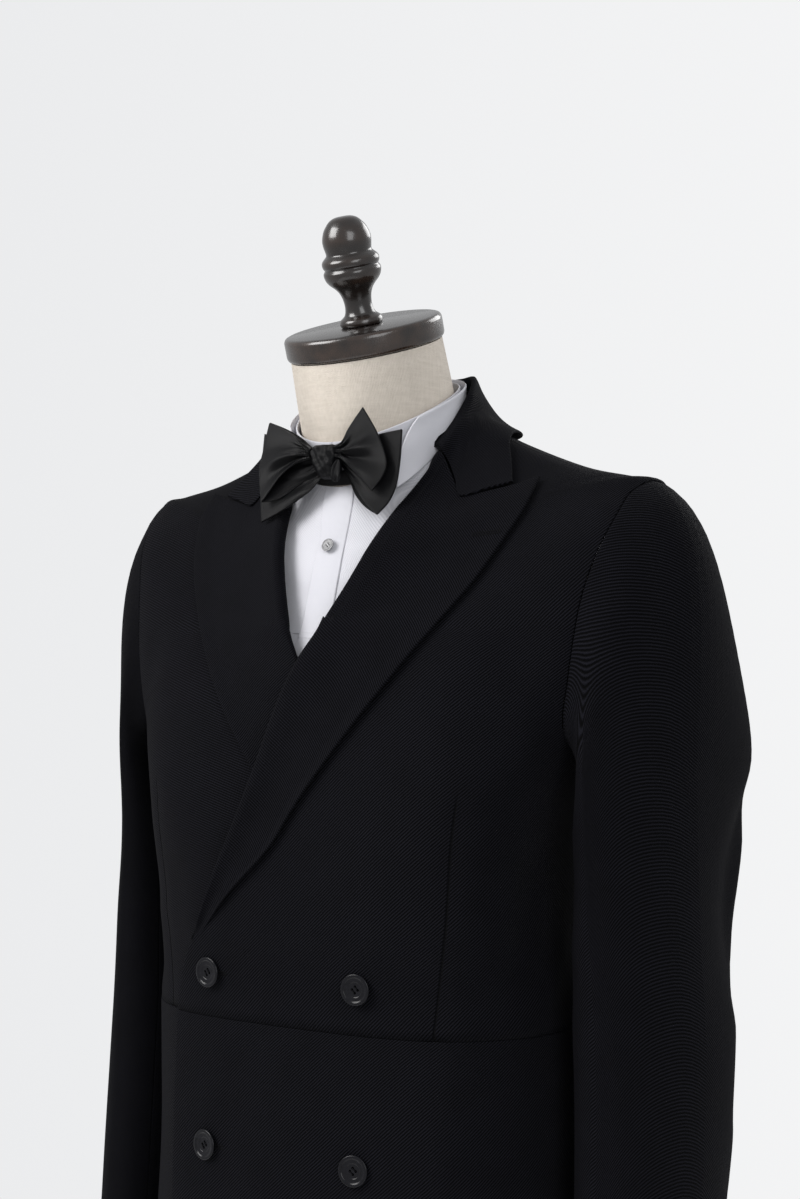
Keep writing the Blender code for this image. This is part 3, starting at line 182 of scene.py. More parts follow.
# The front edge, which turns back as the lapel above the break. Columns: height; distance of
# the left and of the right front's edge from the middle of the body (negative is across it).
frontEdge = np.array([
    (0.7450, -0.0940, -0.0940),
    (0.9200, -0.0970, -0.0970),
    (1.0400, -0.0990, -0.0990),
    (1.0615, -0.0985, -0.0985),
    (1.0750, -0.0940, -0.0940),
    (1.0900, -0.0860, -0.0860),
    (1.1050, -0.0760, -0.0760),
    (1.1630, -0.0500, -0.0500),
    (1.2280, -0.0240, -0.0250),
    (1.2984, 0.0034, 0.0000),
    (1.3180, 0.0139, 0.0112),
    (1.3393, 0.0217, 0.0207),
    (1.3609, 0.0299, 0.0299),
    (1.3828, 0.0382, 0.0382),
    (1.4055, 0.0466, 0.0466),
    (1.4367, 0.0590, 0.0590),
    (1.4530, 0.0642, 0.0642),
    (1.4620, 0.0745, 0.0745),
    (1.4800, 0.0830, 0.0830),
])
# The lapel's outer edge from its foot to the tip of the peak: height, distance out.
lapelEdge = np.array([
    (1.0980, -0.0760),
    (1.1375, -0.0415),
    (1.1700, -0.0090),
    (1.1980, 0.0109),
    (1.2380, 0.0421),
    (1.2882, 0.0797),
    (1.3314, 0.1077),
    (1.3831, 0.1350),
    (1.4103, 0.1438),
    (1.4290, 0.1445),
])
# The lapel's top edge from the roll down the gorge seam and out to the peak: distance out, height.
gorge = np.array([
    (0.0640, 1.4530),
    (0.0916, 1.4157),
    (0.1445, 1.4282),
])
# The collar's front edge from the roll down the gorge seam and out to its corner.
collarFront = np.array([
    (0.0652, 1.4542),
    (0.0918, 1.4162),
    (0.1262, 1.4254),
])
rollRise = 0.0033
neckRollRise = 0.0048

# The centre back, in quarters of a turn from the front
centreBack = 2.0
overlapRise = 0.0036

# The armhole seam from the shoulder down the front to the underarm, then up the back:
# turn from the front (1 is the side), ring row.
armholeFront = np.array([
    (0.985, 9.08),
    (0.930, 8.93),
    (0.880, 8.73),
    (0.839, 8.44),
    (0.808, 8.20),
    (0.788, 8.03),
    (0.769, 7.82),
    (0.756, 7.61),
    (0.747, 7.41),
    (0.743, 7.19),
    (0.742, 6.93),
    (0.743, 6.67),
    (0.747, 6.39),
    (0.754, 6.08),
    (0.785, 5.83),
    (0.860, 5.70),
    (0.975, 5.66),
    (1.100, 5.66),
])
armholeBack = np.array([
    (1.100, 5.66),
    (1.230, 5.70),
    (1.335, 5.88),
    (1.390, 6.20),
    (1.405, 6.70),
    (1.395, 7.20),
    (1.360, 7.80),
    (1.290, 8.30),
    (1.180, 8.75),
    (1.080, 9.00),
    (0.985, 9.08),
])

# A sleeve's level rings. Columns: height; middle's distance out and back; half width across
# and along; turn of the long way from straight ahead, in radians; how much the outer front
# corner is cut back.
sleeveRings = np.array([
    (1.2250, 0.2190, 0.0226, 0.0262, 0.0930, 0.200, 0.50),
    (1.1750, 0.2125, 0.0238, 0.0335, 0.0885, 0.150, 0.45),
    (1.1100, 0.2095, 0.0230, 0.0378, 0.0835, 0.075, 0.40),
    (1.0400, 0.2118, 0.0221, 0.0400, 0.0795, 0.068, 0.34),
    (0.9800, 0.2130, 0.0188, 0.0391, 0.0770, 0.070, 0.28),
    (0.9200, 0.2146, 0.0140, 0.0378, 0.0745, 0.094, 0.22),
    (0.8600, 0.2165, 0.0070, 0.0360, 0.0700, 0.130, 0.18),
    (0.8000, 0.2180, -0.0040, 0.0345, 0.0650, 0.170, 0.15),
])
sleeveCorner = 2.3
# How far the top ring dips under the arm
underarmDip = 0.022
sleeveColumns = 80
capRows = 22
sleeveRows = 60
# How a sleeve's head leaves the armhole at the shoulder, front and back: out, back, down
headLeaves = np.array([
    (0.80, 0.00, -0.45),
    (0.42, -0.05, -0.75),
    (0.80, 0.45, -0.45),
])
headFullness = 0.90
# Where the two sleeve seams run, counted in columns from the shoulder round the front
frontArmSeam = 28
hindArmSeam = 52

# Buttons
buttonAcross = 0.0216
buttonThick = 0.0032
buttonColumn = 0.0622
buttonHeights = (1.0800, 0.9590)
# How far each row of buttons, then the shirt's button, stands off its cloth
buttonLifts = (0.0006, 0.0001)
shirtButtonLift = 0.0005
shirtButtonAcross = 0.0100
shirtButtonThick = 0.0018

# The jacket's collar. Its fold from the centre back to the roll: how far along, point.
collarFold = np.array([
    (0.00, 0.0000, 0.0580, 1.5185),
    (0.25, 0.0362, 0.0482, 1.5185),
    (0.50, 0.0628, 0.0230, 1.5140),
    (0.70, 0.0722, -0.0024, 1.4970),
    (0.86, 0.0696, -0.0232, 1.4740),
    (1.00, 0.0650, -0.0365, 1.4590),
])
# Its outer edge over the same run: how far along, a point near the body under it.
collarEdge = np.array([
    (0.00, 0.0000, 0.0790, 1.4620),
    (0.25, 0.0430, 0.0700, 1.4620),
    (0.50, 0.0860, 0.0400, 1.4620),
    (0.70, 0.1035, 0.0000, 1.4600),
    (0.86, 0.1168, -0.0208, 1.4456),
    (1.00, 0.1258, -0.0334, 1.4265),
])
collarFoldWidth = 0.0046
collarFoldDrop = 0.0028
collarBulge = -0.0040
collarEase = 0.0022
collarNeckEase = 0.0014
collarSeamGap = 0.0012

# Shirt
shirtHemRow = 0.55
shirtNeckRow = 11.0
shirtDropBody = 0.0068
shirtDropShoulder = 0.0029
shirtDropChest = 0.0118
placketHalf = 0.0137
shirtButtonHeight = 1.3870
# The shirt's neckband and the leaf folded over it are rings round an axis that leans forward.
collarLean = math.radians(17.3)
collarMiddle = np.array([0.0, -0.0175, 1.5000])
collarFrontDip = 0.0220
bandRadius = 0.0620
bandHeight = 0.0330
tieBandRadius = 0.0638
tieBandTop = -0.0135
tieBandFoot = -0.0305
leafRadius = 0.0658
leafFoldRadius = 0.0672
leafFrom = math.radians(60)
leafPointFrom = math.radians(38)
# The leaf's lower edge: degrees from the front, radius, drop below the fold.
leafEdge = np.array([
    (38.0, 0.0806, 0.0408),
    (60.0, 0.0675, 0.0352),
    (80.0, 0.0666, 0.0300),
    (130.0, 0.0662, 0.0330),
    (180.0, 0.0662, 0.0360),
])

# Bow tie. The knot's level rings: height, right and left end, front and back.
knotRings = np.array([
    (1.4318, -0.0050, 0.0060, -0.0810, -0.0746),
    (1.4335, -0.0070, 0.0080, -0.0842, -0.0734),
    (1.4390, -0.0100, 0.0095, -0.0872, -0.0730),
    (1.4450, -0.0122, 0.0108, -0.0882, -0.0744),
    (1.4510, -0.0130, 0.0112, -0.0876, -0.0764),
    (1.4548, -0.0118, 0.0098, -0.0856, -0.0792),
    (1.4558, -0.0090, 0.0070, -0.0846, -0.0815),
])
wingSweep = 0.10
leftWingRoot = 0.0116

# Form and stand. The form's neck rings: distance up the leaning axis, radius.
formFootHeight = 0.7700
formLastRow = 12.7
formGap = 0.0024
formSlack = 0.0060
formNeckGap = 0.0013
formHalf = 0.1700
formRound = 0.0180
neckLean = math.radians(20.0)
capTop = np.array([0.0, -0.0397, 1.5497])
neckRings = np.array([
    (-0.0780, 0.0592),
    (-0.0600, 0.0585),
    (-0.0400, 0.0577),
    (-0.0183, 0.0568),
])
# Turned pieces: distance up from the cap's top face or the floor, radius.
capProfile = (
    (-0.0180, 0.0555), (-0.0172, 0.0580), (-0.0150, 0.0592),
    (-0.0030, 0.0592), (-0.0008, 0.0580), (0.0, 0.0555),
)
poleRadius = 0.0140
baseProfile = (
    (0.0, 0.1880), (0.0020, 0.1900), (0.0120, 0.1900),
    (0.0160, 0.1870), (0.0200, 0.1200), (0.0230, 0.0300),
)


def smoothStep(t):
    t = np.clip(t, 0.0, 1.0)
    return t * t * (3.0 - 2.0 * t)


def catmull(points, t):
    a, b, c, d = points
    return 0.5 * (
        2 * b + (c - a) * t + (2 * a - 5 * b + 4 * c - d) * t ** 2 + (3 * b - a - 3 * c + d) * t ** 3
    )


def hermite(a, b, leave, arrive, t):
    # a smooth way from a to b with the given slopes at both
    return (
        (2 * t ** 3 - 3 * t ** 2 + 1) * a + (t ** 3 - 2 * t ** 2 + t) * leave
        + (3 * t ** 2 - 2 * t ** 3) * b + (t ** 3 - t ** 2) * arrive
    )


def curveThrough(keys, values, at):
    keys = np.asarray(keys, float)
    values = np.asarray(values, float)
    at = np.clip(np.asarray(at, float), keys[0], keys[-1])
    slopes = np.gradient(values, keys, axis=0)
    i = np.clip(np.searchsorted(keys, at, side="right") - 1, 0, len(keys) - 2)
    span = keys[i + 1] - keys[i]
    t = (at - keys[i]) / span
    if values.ndim > 1:
        t = t[..., None]
        span = span[..., None]
    return hermite(values[i], values[i + 1], span * slopes[i], span * slopes[i + 1], t)


def unit(vectors):
    return vectors / np.linalg.norm(vectors, axis=-1, keepdims=True)


def reachOf(points):
    # how far along a line each of its points lies
    return np.concatenate([[0.0], np.cumsum(np.linalg.norm(np.diff(points, axis=0), axis=1))])


def quarterOfRing(halfWidth, depth, power, slant):
    angle = np.linspace(0.0, math.pi / 2, 400)
    x = halfWidth * np.sin(angle) ** (2 / power)
    y = depth * np.clip(np.cos(angle), 0.0, 1.0) ** (2 / power) * (1 - slant * x / halfWidth)
    y[-1] = 0.0
    arc = reachOf(np.stack([x, y], axis=1))
    return x, y, arc / arc[-1]


def bodyRing(row):
    zFront, zSide, zBack, halfWidth, front, back, frontPower, backPower, slant, soft = row
    q = np.linspace(-2.0, 2.0, ringSteps, endpoint=False)
    turn = np.abs(q)
    facing = turn <= 1
    fx, fy, fa = quarterOfRing(halfWidth, front, frontPower, slant)
    bx, by, ba = quarterOfRing(halfWidth, back, backPower, 0.0)
    x = np.where(facing, np.interp(turn, fa, fx), np.interp(2 - turn, ba, bx)) * np.sign(q)
    y = np.where(facing, -np.interp(turn, fa, fy), np.interp(2 - turn, ba, by))
    near = np.where(facing, turn, 2 - turn)
    zEnd = np.where(facing, zFront, zBack)
    z = zSide + (zEnd - zSide) * np.cos(math.pi / 2 * near) ** 2
    steps = (np.arange(ringSteps) + ringSteps // 2) % ringSteps - ringSteps // 2
    weight = np.exp(-0.5 * (steps * 4 / ringSteps / soft) ** 2)
    weight = np.fft.rfft(weight / weight.sum())
    x = np.fft.irfft(np.fft.rfft(x) * weight, ringSteps)
    y = np.fft.irfft(np.fft.rfft(y) * weight, ringSteps)
    return np.stack([x, y, z], axis=1)


bodyNet = np.array([bodyRing(row) for row in bodyRings])


def body(q, v):
    q, v = np.broadcast_arrays(np.asarray(q, float), np.asarray(v, float))
    place = ((q + 2) % 4) * ringSteps / 4
    column = np.floor(place).astype(int)
    across = (place - column)[..., None]
    v = np.clip(v, 0.0, neckRow)
    row = np.minimum(np.floor(v).astype(int), int(neckRow) - 1)
    up = (v - row)[..., None]
    lines = []
    for step in (-1, 0, 1, 2):
        k = np.clip(row + step, 0, int(neckRow))
        near = [bodyNet[k, (column + side) % ringSteps] for side in (-1, 0, 1, 2)]
        lines.append(catmull(near, across))
    first = (row == 0)[..., None]
    last = (row == int(neckRow) - 1)[..., None]
    lines[0] = np.where(first, 2 * lines[1] - lines[2], lines[0])
    lines[3] = np.where(last, 2 * lines[2] - lines[1], lines[3])
    return catmull(lines, up)


def bodyNormal(q, v):
    step = 0.004
    along = body(np.add(q, step), v) - body(np.subtract(q, step), v)
    upward = body(q, np.minimum(np.add(v, step), neckRow)) - body(q, np.maximum(np.subtract(v, step), 0))
    return unit(np.cross(along, upward))


def raised(q, v, rise):
    return body(q, v) + bodyNormal(q, v) * np.asarray(rise)[..., None]


def stepOf(q, v, length):
    step = 0.004
    speed = np.linalg.norm(body(np.add(q, step), v) - body(np.subtract(q, step), v), axis=-1) / (2 * step)
    return length / speed


def closest(net, wanted):
    # which of the net's points is nearest to each wanted one, looked up a few at a time
    return np.concatenate([
        ((net[None] - part[:, None]) ** 2).sum(axis=2).argmin(axis=1)
        for part in np.array_split(wanted, len(wanted) // 300 + 1)
    ])


def findOnBody(axes, wanted, qRange, vRange):
    wanted = np.atleast_2d(np.asarray(wanted, float))
    qs, vs = np.meshgrid(np.linspace(*qRange, 60), np.linspace(*vRange, 120))
    net = body(qs, vs)[..., axes].reshape(-1, 2)
    nearest = closest(net, wanted)
    q = qs.ravel()[nearest]
    v = vs.ravel()[nearest]
    small = 1e-3
    for _ in range(12):
        here = body(q, v)[:, axes]
        byQ = (body(q + small, v)[:, axes] - body(q - small, v)[:, axes]) / (2 * small)
        byV = (body(q, v + small)[:, axes] - body(q, v - small)[:, axes]) / (2 * small)
        miss = wanted - here
        det = byQ[:, 0] * byV[:, 1] - byQ[:, 1] * byV[:, 0]
        det = np.where(np.abs(det) < 1e-8, 1e-8, det)
        q = q + np.clip((miss[:, 0] * byV[:, 1] - miss[:, 1] * byV[:, 0]) / det, -0.05, 0.05)
        v = v + np.clip((miss[:, 1] * byQ[:, 0] - miss[:, 0] * byQ[:, 1]) / det, -0.3, 0.3)
        v = np.clip(v, 0.0, neckRow)
    return q, v


def onFront(x, z):
    x = np.asarray(x, float)
    shape = x.shape
    side = np.where(x.ravel() < 0, -1.0, 1.0)
    wanted = np.stack([np.abs(x).ravel(), np.asarray(z, float).ravel()], axis=1)
    q, v = findOnBody([0, 2], wanted, (0.0, 1.0), (1.0, neckRow))
    return (q * side).reshape(shape), v.reshape(shape)


def frontEdgeAt(z, side):
    return curveThrough(frontEdge[:, 0], frontEdge[:, 1 if side > 0 else 2], z)


def edgeTurn(v, side):
    low = np.full(len(v), -0.75)
    high = np.full(len(v), 0.98)
    for _ in range(40):
        middle = 0.5 * (low + high)
        here = body(middle * side, v)
        inside = here[:, 0] * side < frontEdgeAt(here[:, 2], side)
        low = np.where(inside, middle, low)
        high = np.where(inside, high, middle)
    return 0.5 * (low + high)


def overlap(side, q, v):
    # how far the left front stands off the body where it lies over the right one
    if side < 0:
        return np.zeros(np.broadcast(q, v).shape)
    here = body(q, v)
    x = here[..., 0]
    z = here[..., 2]
    full = overlapRise + overlapRise * smoothStep((z - 1.062) / 0.035)
    return full * (1 - smoothStep((x - 0.112) / 0.05)) * (1 - smoothStep((z - 1.300) / 0.06))


def evenSteps(points, count):
    fine = np.linspace(0.0, len(points) - 1.0, 400)
    keys = np.arange(len(points))
    path = curveThrough(keys, points, fine)
    place = body(path[:, 0], path[:, 1])
    reach = reachOf(place)
    return curveThrough(keys, points, np.interp(np.linspace(0.0, reach[-1], count), reach, fine))


def armhole():
    half = sleeveColumns // 2 + 1
    front = evenSteps(armholeFront, half)
    hind = evenSteps(armholeBack, half)
    seam = np.concatenate([front, hind[1:-1]])
    return seam[:, 0], seam[:, 1]


armholeQ, armholeV = armhole()
halfTurn = sleeveColumns // 2
shoulderSeam = float(armholeQ[0])
underarmSeam = float(armholeQ[halfTurn])


def gridNormals(points, closed):
    if closed:
        across = np.roll(points, -1, axis=1) - np.roll(points, 1, axis=1)
    else:
        across = np.gradient(points, axis=1)
    along = np.gradient(points, axis=0)
    return unit(np.cross(across, along))


def seamRows(hind, step, start, lowCount, above):
    # a panel's rows up its side seam, round the armhole and on to the neck, and where its seam runs
    arm = np.arange(halfTurn, sleeveColumns + 1, step) if hind else np.arange(halfTurn, -1, -step)
    armQ, armV = armholeQ[arm % sleeveColumns], armholeV[arm % sleeveColumns]
    low = np.linspace(start, armV[0], lowCount)[:-1]
    seam = np.concatenate([np.full(len(low), underarmSeam), armQ, np.full(len(above), shoulderSeam)])
    return np.concatenate([low, armV, above]), seam


def bodiceRows(hind):
    v, seam = seamRows(hind, 1, waistRow, 36, np.linspace(armholeV[0], neckRow, 26)[1:])
    v[0] += 0.5 * seamGap / (bodyRings[4, 0] - bodyRings[3, 0])
    return v, seam


def lapelNet(side, shares, steps):
    # the places of a lapel between its roll and its edge, its foot and its top
    footZ = lapelEdge[0, 0] + 0.004
    rollZ = footZ + (gorge[0, 1] - footZ) * steps
    roll = np.stack([frontEdgeAt(rollZ, side), rollZ], axis=1)
    edgeZ = lapelEdge[0, 0] + (lapelEdge[-1, 0] - lapelEdge[0, 0]) * steps
    edge = np.stack([curveThrough(lapelEdge[:, 0], lapelEdge[:, 1], edgeZ), edgeZ], axis=1)
    roll[-1] = gorge[0]
    edge[-1] = gorge[-1]
    reach = reachOf(gorge)
    top = np.stack([np.interp(shares, reach / reach[-1], gorge[:, k]) for k in (0, 1)], axis=1)
    s = shares[None, :, None]
    t = steps[:, None, None]
    foot = roll[0] + (edge[0] - roll[0]) * shares[:, None]
    net = (1 - s) * roll[:, None] + s * edge[:, None] + (1 - t) * foot[None] + t * top[None]
    net -= (1 - s) * (1 - t) * roll[0] + s * (1 - t) * edge[0] + (1 - s) * t * roll[-1] + s * t * edge[-1]
    return onFront(net[..., 0] * side, net[..., 1])


# How far out each column of the lapel lies, and how much of the roll's rise it keeps
rollShares = np.array([
    (0.00, 0.10),
    (0.03, 0.80),
    (0.10, 1.00),
    (0.22, 0.68),
    (0.34, 0.28),
    (0.47, 0.04),
    (0.64, 0.00),
    (0.82, 0.00),
    (1.00, 0.00),
])


def frontNormals(net, row, column):
    # a net's normals, turned so that the named one faces the front
    normal = gridNormals(net, closed=False)
    return -normal if normal[row, column, 1] > 0 else normal


def mirrored(points, side):
    return points * np.array([side, 1.0, 1.0])


def armholeFrame():
    seam = body(armholeQ, armholeV)
    normal = bodyNormal(armholeQ, armholeV)
    along = np.roll(seam, -1, axis=0) - np.roll(seam, 1, axis=0)
    into = unit(np.cross(along, normal))
    middle = seam.mean(axis=0)
    return seam, into * np.sign(((middle - seam) * into).sum(axis=1, keepdims=True))


def sleeveRing(row):
    z, middleX, middleY, halfAcross, halfAlong, turn, slant = row
    angle = np.linspace(0.0, 2 * math.pi, sleeveColumns, endpoint=False)
    c = np.cos(angle)
    s = -np.sin(angle)
    across = halfAcross * np.sign(c) * np.abs(c) ** (2 / sleeveCorner)
    along = halfAlong * np.sign(s) * np.abs(s) ** (2 / sleeveCorner)
    across = across * np.where((c > 0) & (s < 0), 1 - slant * np.abs(s), 1.0)
    x = middleX + across * math.cos(turn) + along * math.sin(turn)
    y = middleY - across * math.sin(turn) + along * math.cos(turn)
    return np.stack([x, y, np.full_like(x, z)], axis=1)


def sleeveNet():
    seam, into = armholeFrame()
    start = seam + into * seamGap
    rings = np.array([sleeveRing(row) for row in sleeveRings])
    angle = np.linspace(0.0, 2 * math.pi, sleeveColumns, endpoint=False)
    rings[0, :, 2] -= underarmDip * np.clip(-np.cos(angle), 0.0, 1.0)
    ahead = np.clip(np.sin(angle), 0.0, 1.0)[:, None]
    behind = np.clip(-np.sin(angle), 0.0, 1.0)[:, None]
    leave = headLeaves[0] + (headLeaves[1] - headLeaves[0]) * ahead + (headLeaves[2] - headLeaves[0]) * behind
    leave = unit(leave)
    arrive = unit(rings[1] - rings[0])
    reach = np.linalg.norm(rings[0] - start, axis=1, keepdims=True) * headFullness
    shares = np.linspace(0.0, 1.0, capRows)
    rows = [hermite(start, rings[0], reach * leave, reach * arrive, t) for t in shares]
    low = np.linspace(sleeveRings[0, 0], sleeveRings[-1, 0], sleeveRows)[1:]
    for z in low:
        rows.append(curveThrough(-sleeveRings[:, 0], rings.reshape(len(rings), -1), -z).reshape(-1, 3))
    return np.array(rows)


def nearestOnBody(points):
    flat = points.reshape(-1, 3)
    qs, vs = np.meshgrid(np.linspace(-2.0, 2.0, 161), np.linspace(5.0, neckRow, 81))
    net = body(qs, vs).reshape(-1, 3)
    index = closest(net, flat)
    q = qs.ravel()[index]
    v = vs.ravel()[index]
    small = 1e-3
    for _ in range(8):
        miss = flat - body(q, v)
        byQ = (body(q + small, v) - body(q - small, v)) / (2 * small)
        byV = (body(q, v + small) - body(q, v - small)) / (2 * small)
        qq = (byQ ** 2).sum(axis=1)
        vv = (byV ** 2).sum(axis=1)
        qv = (byQ * byV).sum(axis=1)
        a = (miss * byQ).sum(axis=1)
        b = (miss * byV).sum(axis=1)
        det = np.maximum(qq * vv - qv ** 2, 1e-12)
        q = q + np.clip((a * vv - b * qv) / det, -0.05, 0.05)
        v = np.clip(v + np.clip((b * qq - a * qv) / det, -0.3, 0.3), 0.0, neckRow)
    return q.reshape(points.shape[:-1]), v.reshape(points.shape[:-1])


def collarHalf(along):
    fold = curveThrough(collarFold[:, 0], collarFold[:, 1:], along)
    edge = curveThrough(collarEdge[:, 0], collarEdge[:, 1:], along)
    edgeQ, edgeV = nearestOnBody(edge)
    edge = raised(edgeQ, edgeV, np.full(len(along), lapelGap + lapelWall))
    seamQ, _ = nearestOnBody(fold)
    seam = body(seamQ, np.full(len(along), neckRow)) + np.array([0.0, 0.0, collarSeamGap])
    away = unit(np.gradient(fold, axis=0)[:, [1, 0, 2]] * np.array([-1.0, 1.0, 0.0]))
    away = away * np.sign((away * (fold - np.array([0.0, -0.01, 0.0]))).sum(axis=1, keepdims=True))
    up = np.array([0.0, 0.0, 1.0])
    inside = fold - away * collarFoldWidth - up * collarFoldDrop
    stand = [(seam - away * jacketWall, seam)]
    under = fold - away * (collarFoldWidth - 0.0018) - up * (collarFoldDrop + 0.0003)
    stand.append((0.5 * (stand[0][0] + inside), 0.5 * (seam + under)))
    stand.append((inside, under))
    stand.append((fold - away * 0.5 * collarFoldWidth, fold - away * 0.5 * collarFoldWidth - up * 0.0019))
    start = fold - up * collarFoldDrop
    shares = np.array([0.0, 0.2, 0.42, 0.62, 0.82, 1.0])
    endX = np.interp(shares, [0.0, 0.62, 1.0], collarFront[:, 0])
    endZ = np.interp(shares, [0.0, 0.62, 1.0], collarFront[:, 1])
    endQ, endV = onFront(endX, endZ)
    end = raised(endQ, endV, lapelGap + lapelWall + neckRollRise * (1 - smoothStep(shares / 0.45)))
    fall = []
    for k, share in enumerate(shares):
        row = start + (edge - start) * share + away * collarBulge * 4 * share * (1 - share)
        weight = smoothStep((along - 0.55) / 0.45)[:, None]
        fall.append(row + (end[k] - row[-1]) * weight)
    fall = np.array(fall)
    q, v = nearestOnBody(fall)
    normal = bodyNormal(q, v)
    height = ((fall - body(q, v)) * normal).sum(axis=-1)
    least = lapelGap + lapelWall + collarEase + collarNeckEase * smoothStep((fall[..., 2] - 1.450) / 0.012)
    fall = fall + normal * np.maximum(least - height, 0.0)[..., None]
    outer = np.concatenate([np.array([pair[0] for pair in stand]), fall])
    inner = np.concatenate([np.array([pair[1] for pair in stand]), fall - normal * lapelWall])
    inner[4] = fold - away * 0.0019 - up * (collarFoldDrop + 0.0003)
    return outer, inner


def leaningAxes(lean):
    # up and forward along an axis that leans forward, and out to the left
    up = np.array([0.0, -math.sin(lean), math.cos(lean)])
    forward = np.array([0.0, -math.cos(lean), -math.sin(lean)])
    return up, forward, np.array([1.0, 0.0, 0.0])


def leaningRing(angle, radius, height):
    axis, forward, side = leaningAxes(collarLean)
    dip = collarFrontDip * (0.5 + 0.5 * np.cos(angle)) ** 2
    radius, height, angle, dip = np.broadcast_arrays(radius, height, angle, dip)
    point = collarMiddle + axis * height[..., None] - np.array([0.0, 0.0, 1.0]) * dip[..., None]
    return point + (forward * np.cos(angle)[..., None] + side * np.sin(angle)[..., None]) * radius[..., None]


def shirtPoint(q, v, more):
    q, v, more = np.broadcast_arrays(np.asarray(q, float), np.asarray(v, float), more)
    low = np.minimum(v, shirtNeckRow)
    shoulder = smoothStep((low - 8.3) / 1.2) * smoothStep((np.abs(q) - 0.42) / 0.2)
    chest = smoothStep((low - 6.2) / 1.2) * (1 - smoothStep((np.abs(q) - 0.08) / 0.30))
    drop = shirtDropBody + (shirtDropShoulder - shirtDropBody) * shoulder
    drop = drop + (shirtDropChest - shirtDropBody) * chest
    over = raised(q, low, -drop - more)
    foot = leaningRing(q * math.pi / 2, bandRadius - more, np.full(q.shape, -bandHeight) - 0.5 * more)
    share = np.clip((v - shirtNeckRow) / (neckRow - shirtNeckRow), 0.0, 1.0)[..., None]
    point = over + (foot - over) * (1.4 * share - 0.4 * share ** 2)
    nearQ, nearV = nearestOnBody(point)
    normal = bodyNormal(nearQ, nearV)
    height = ((point - body(nearQ, nearV)) * normal).sum(axis=-1)
    return point - normal * np.maximum(height + shirtDropShoulder + more, 0.0)[..., None]


seamGap = 0.0003
layerGap = 0.0006
lapelGap = 0.0009
jacketWall = 0.0020
lapelWall = 0.0020
shirtWall = 0.0012
bowWall = 0.0014

# How pressed edges and seams round off
edgeLook = {"radius": 0.0008, "depth": 0.00045}


def refined(net, rowKeys, columnKeys, rows, columns):
    # a net read at finer rows and columns along smooth curves
    shape = net.shape[2:]
    part = curveThrough(rowKeys, net.reshape(len(net), -1), rows).reshape(len(rows), net.shape[1], -1)
    part = np.swapaxes(part, 0, 1)
    part = curveThrough(columnKeys, part.reshape(len(part), -1), columns).reshape(len(columns), len(rows), -1)
    return np.swapaxes(part, 0, 1).reshape(len(rows), len(columns), *shape)


def withEdges(length, count, first=True, last=True):
    # even shares of a length with more of them beside its ends
    close = np.array([0.0004, 0.0009, 0.0016, 0.0028, 0.0050]) / length
    shares = [np.linspace(0.0, 1.0, count)]
    if first:
        shares.append(close)
    if last:
        shares.append(1 - close)
    shares = np.unique(np.concatenate(shares))
    keep = np.concatenate([[True], np.diff(shares) > 0.00025 / length])
    shares = shares[keep]
    shares[-1] = 1.0
    return shares


def netReach(net):
    # how far each point lies from the first column and from the first row, along the cloth
    across = np.linalg.norm(np.diff(net, axis=1), axis=2).cumsum(axis=1)
    along = np.linalg.norm(np.diff(net, axis=0), axis=2).cumsum(axis=0)
    return np.pad(across, ((0, 0), (1, 0))), np.pad(along, ((1, 0), (0, 0)))


def roundedEdge(net, edges, radius=edgeLook["radius"], depth=edgeLook["depth"]):
    # how far the face is drawn in beside the named edges
    across, along = netReach(net)
    off = {"first": across, "last": across[:, -1:] - across, "foot": along, "top": along[-1:] - along}
    near = np.minimum.reduce([off[edge] for edge in edges])
    short = np.clip(1 - near / radius, 0.0, 1.0)
    return depth * (1 - np.sqrt(1 - short ** 2))


def drawnIn(outer, inner, soft):
    return outer - unit(outer - inner) * soft[..., None]


def grainOf(net):
    # a flat map of a net of cloth, in metres: across from its middle column, up from its first row
    across, along = netReach(net)
    return np.stack([across - across[:, net.shape[1] // 2][:, None], along], axis=2)


# How far each place of the body's rings lies from the front middle and above the hem
ringAcross = np.linalg.norm(np.roll(bodyNet, -1, axis=1) - bodyNet, axis=2)
ringAcross = np.roll(ringAcross, ringSteps // 2, axis=1)
ringAcross = np.concatenate([np.zeros((len(bodyNet), 1)), np.cumsum(ringAcross, axis=1)], axis=1)
ringUp = np.linalg.norm(np.diff(bodyNet, axis=0), axis=2)
ringUp = np.concatenate([np.zeros((1, ringSteps)), np.cumsum(ringUp, axis=0)], axis=0)
ringUp = np.roll(ringUp, ringSteps // 2, axis=1)
ringUp = np.concatenate([ringUp, ringUp[:, :1]], axis=1)


def bodyGrain(q, v):
    # metres across from the front middle and up from the hem
    turn = np.clip(np.abs(q), 0.0, 2.0) * (ringSteps // 4)
    column = np.minimum(turn.astype(int), ringSteps // 2 - 1)
    row = np.minimum(np.floor(v).astype(int), int(neckRow) - 1)
    a = turn - column
    b = v - row
    parts = []
    for table in (ringAcross, ringUp):
        low = table[row, column] * (1 - a) + table[row, column + 1] * a
        high = table[row + 1, column] * (1 - a) + table[row + 1, column + 1] * a
        parts.append(low * (1 - b) + high * b)
    return np.stack([parts[0] * np.sign(q), parts[1]], axis=-1)


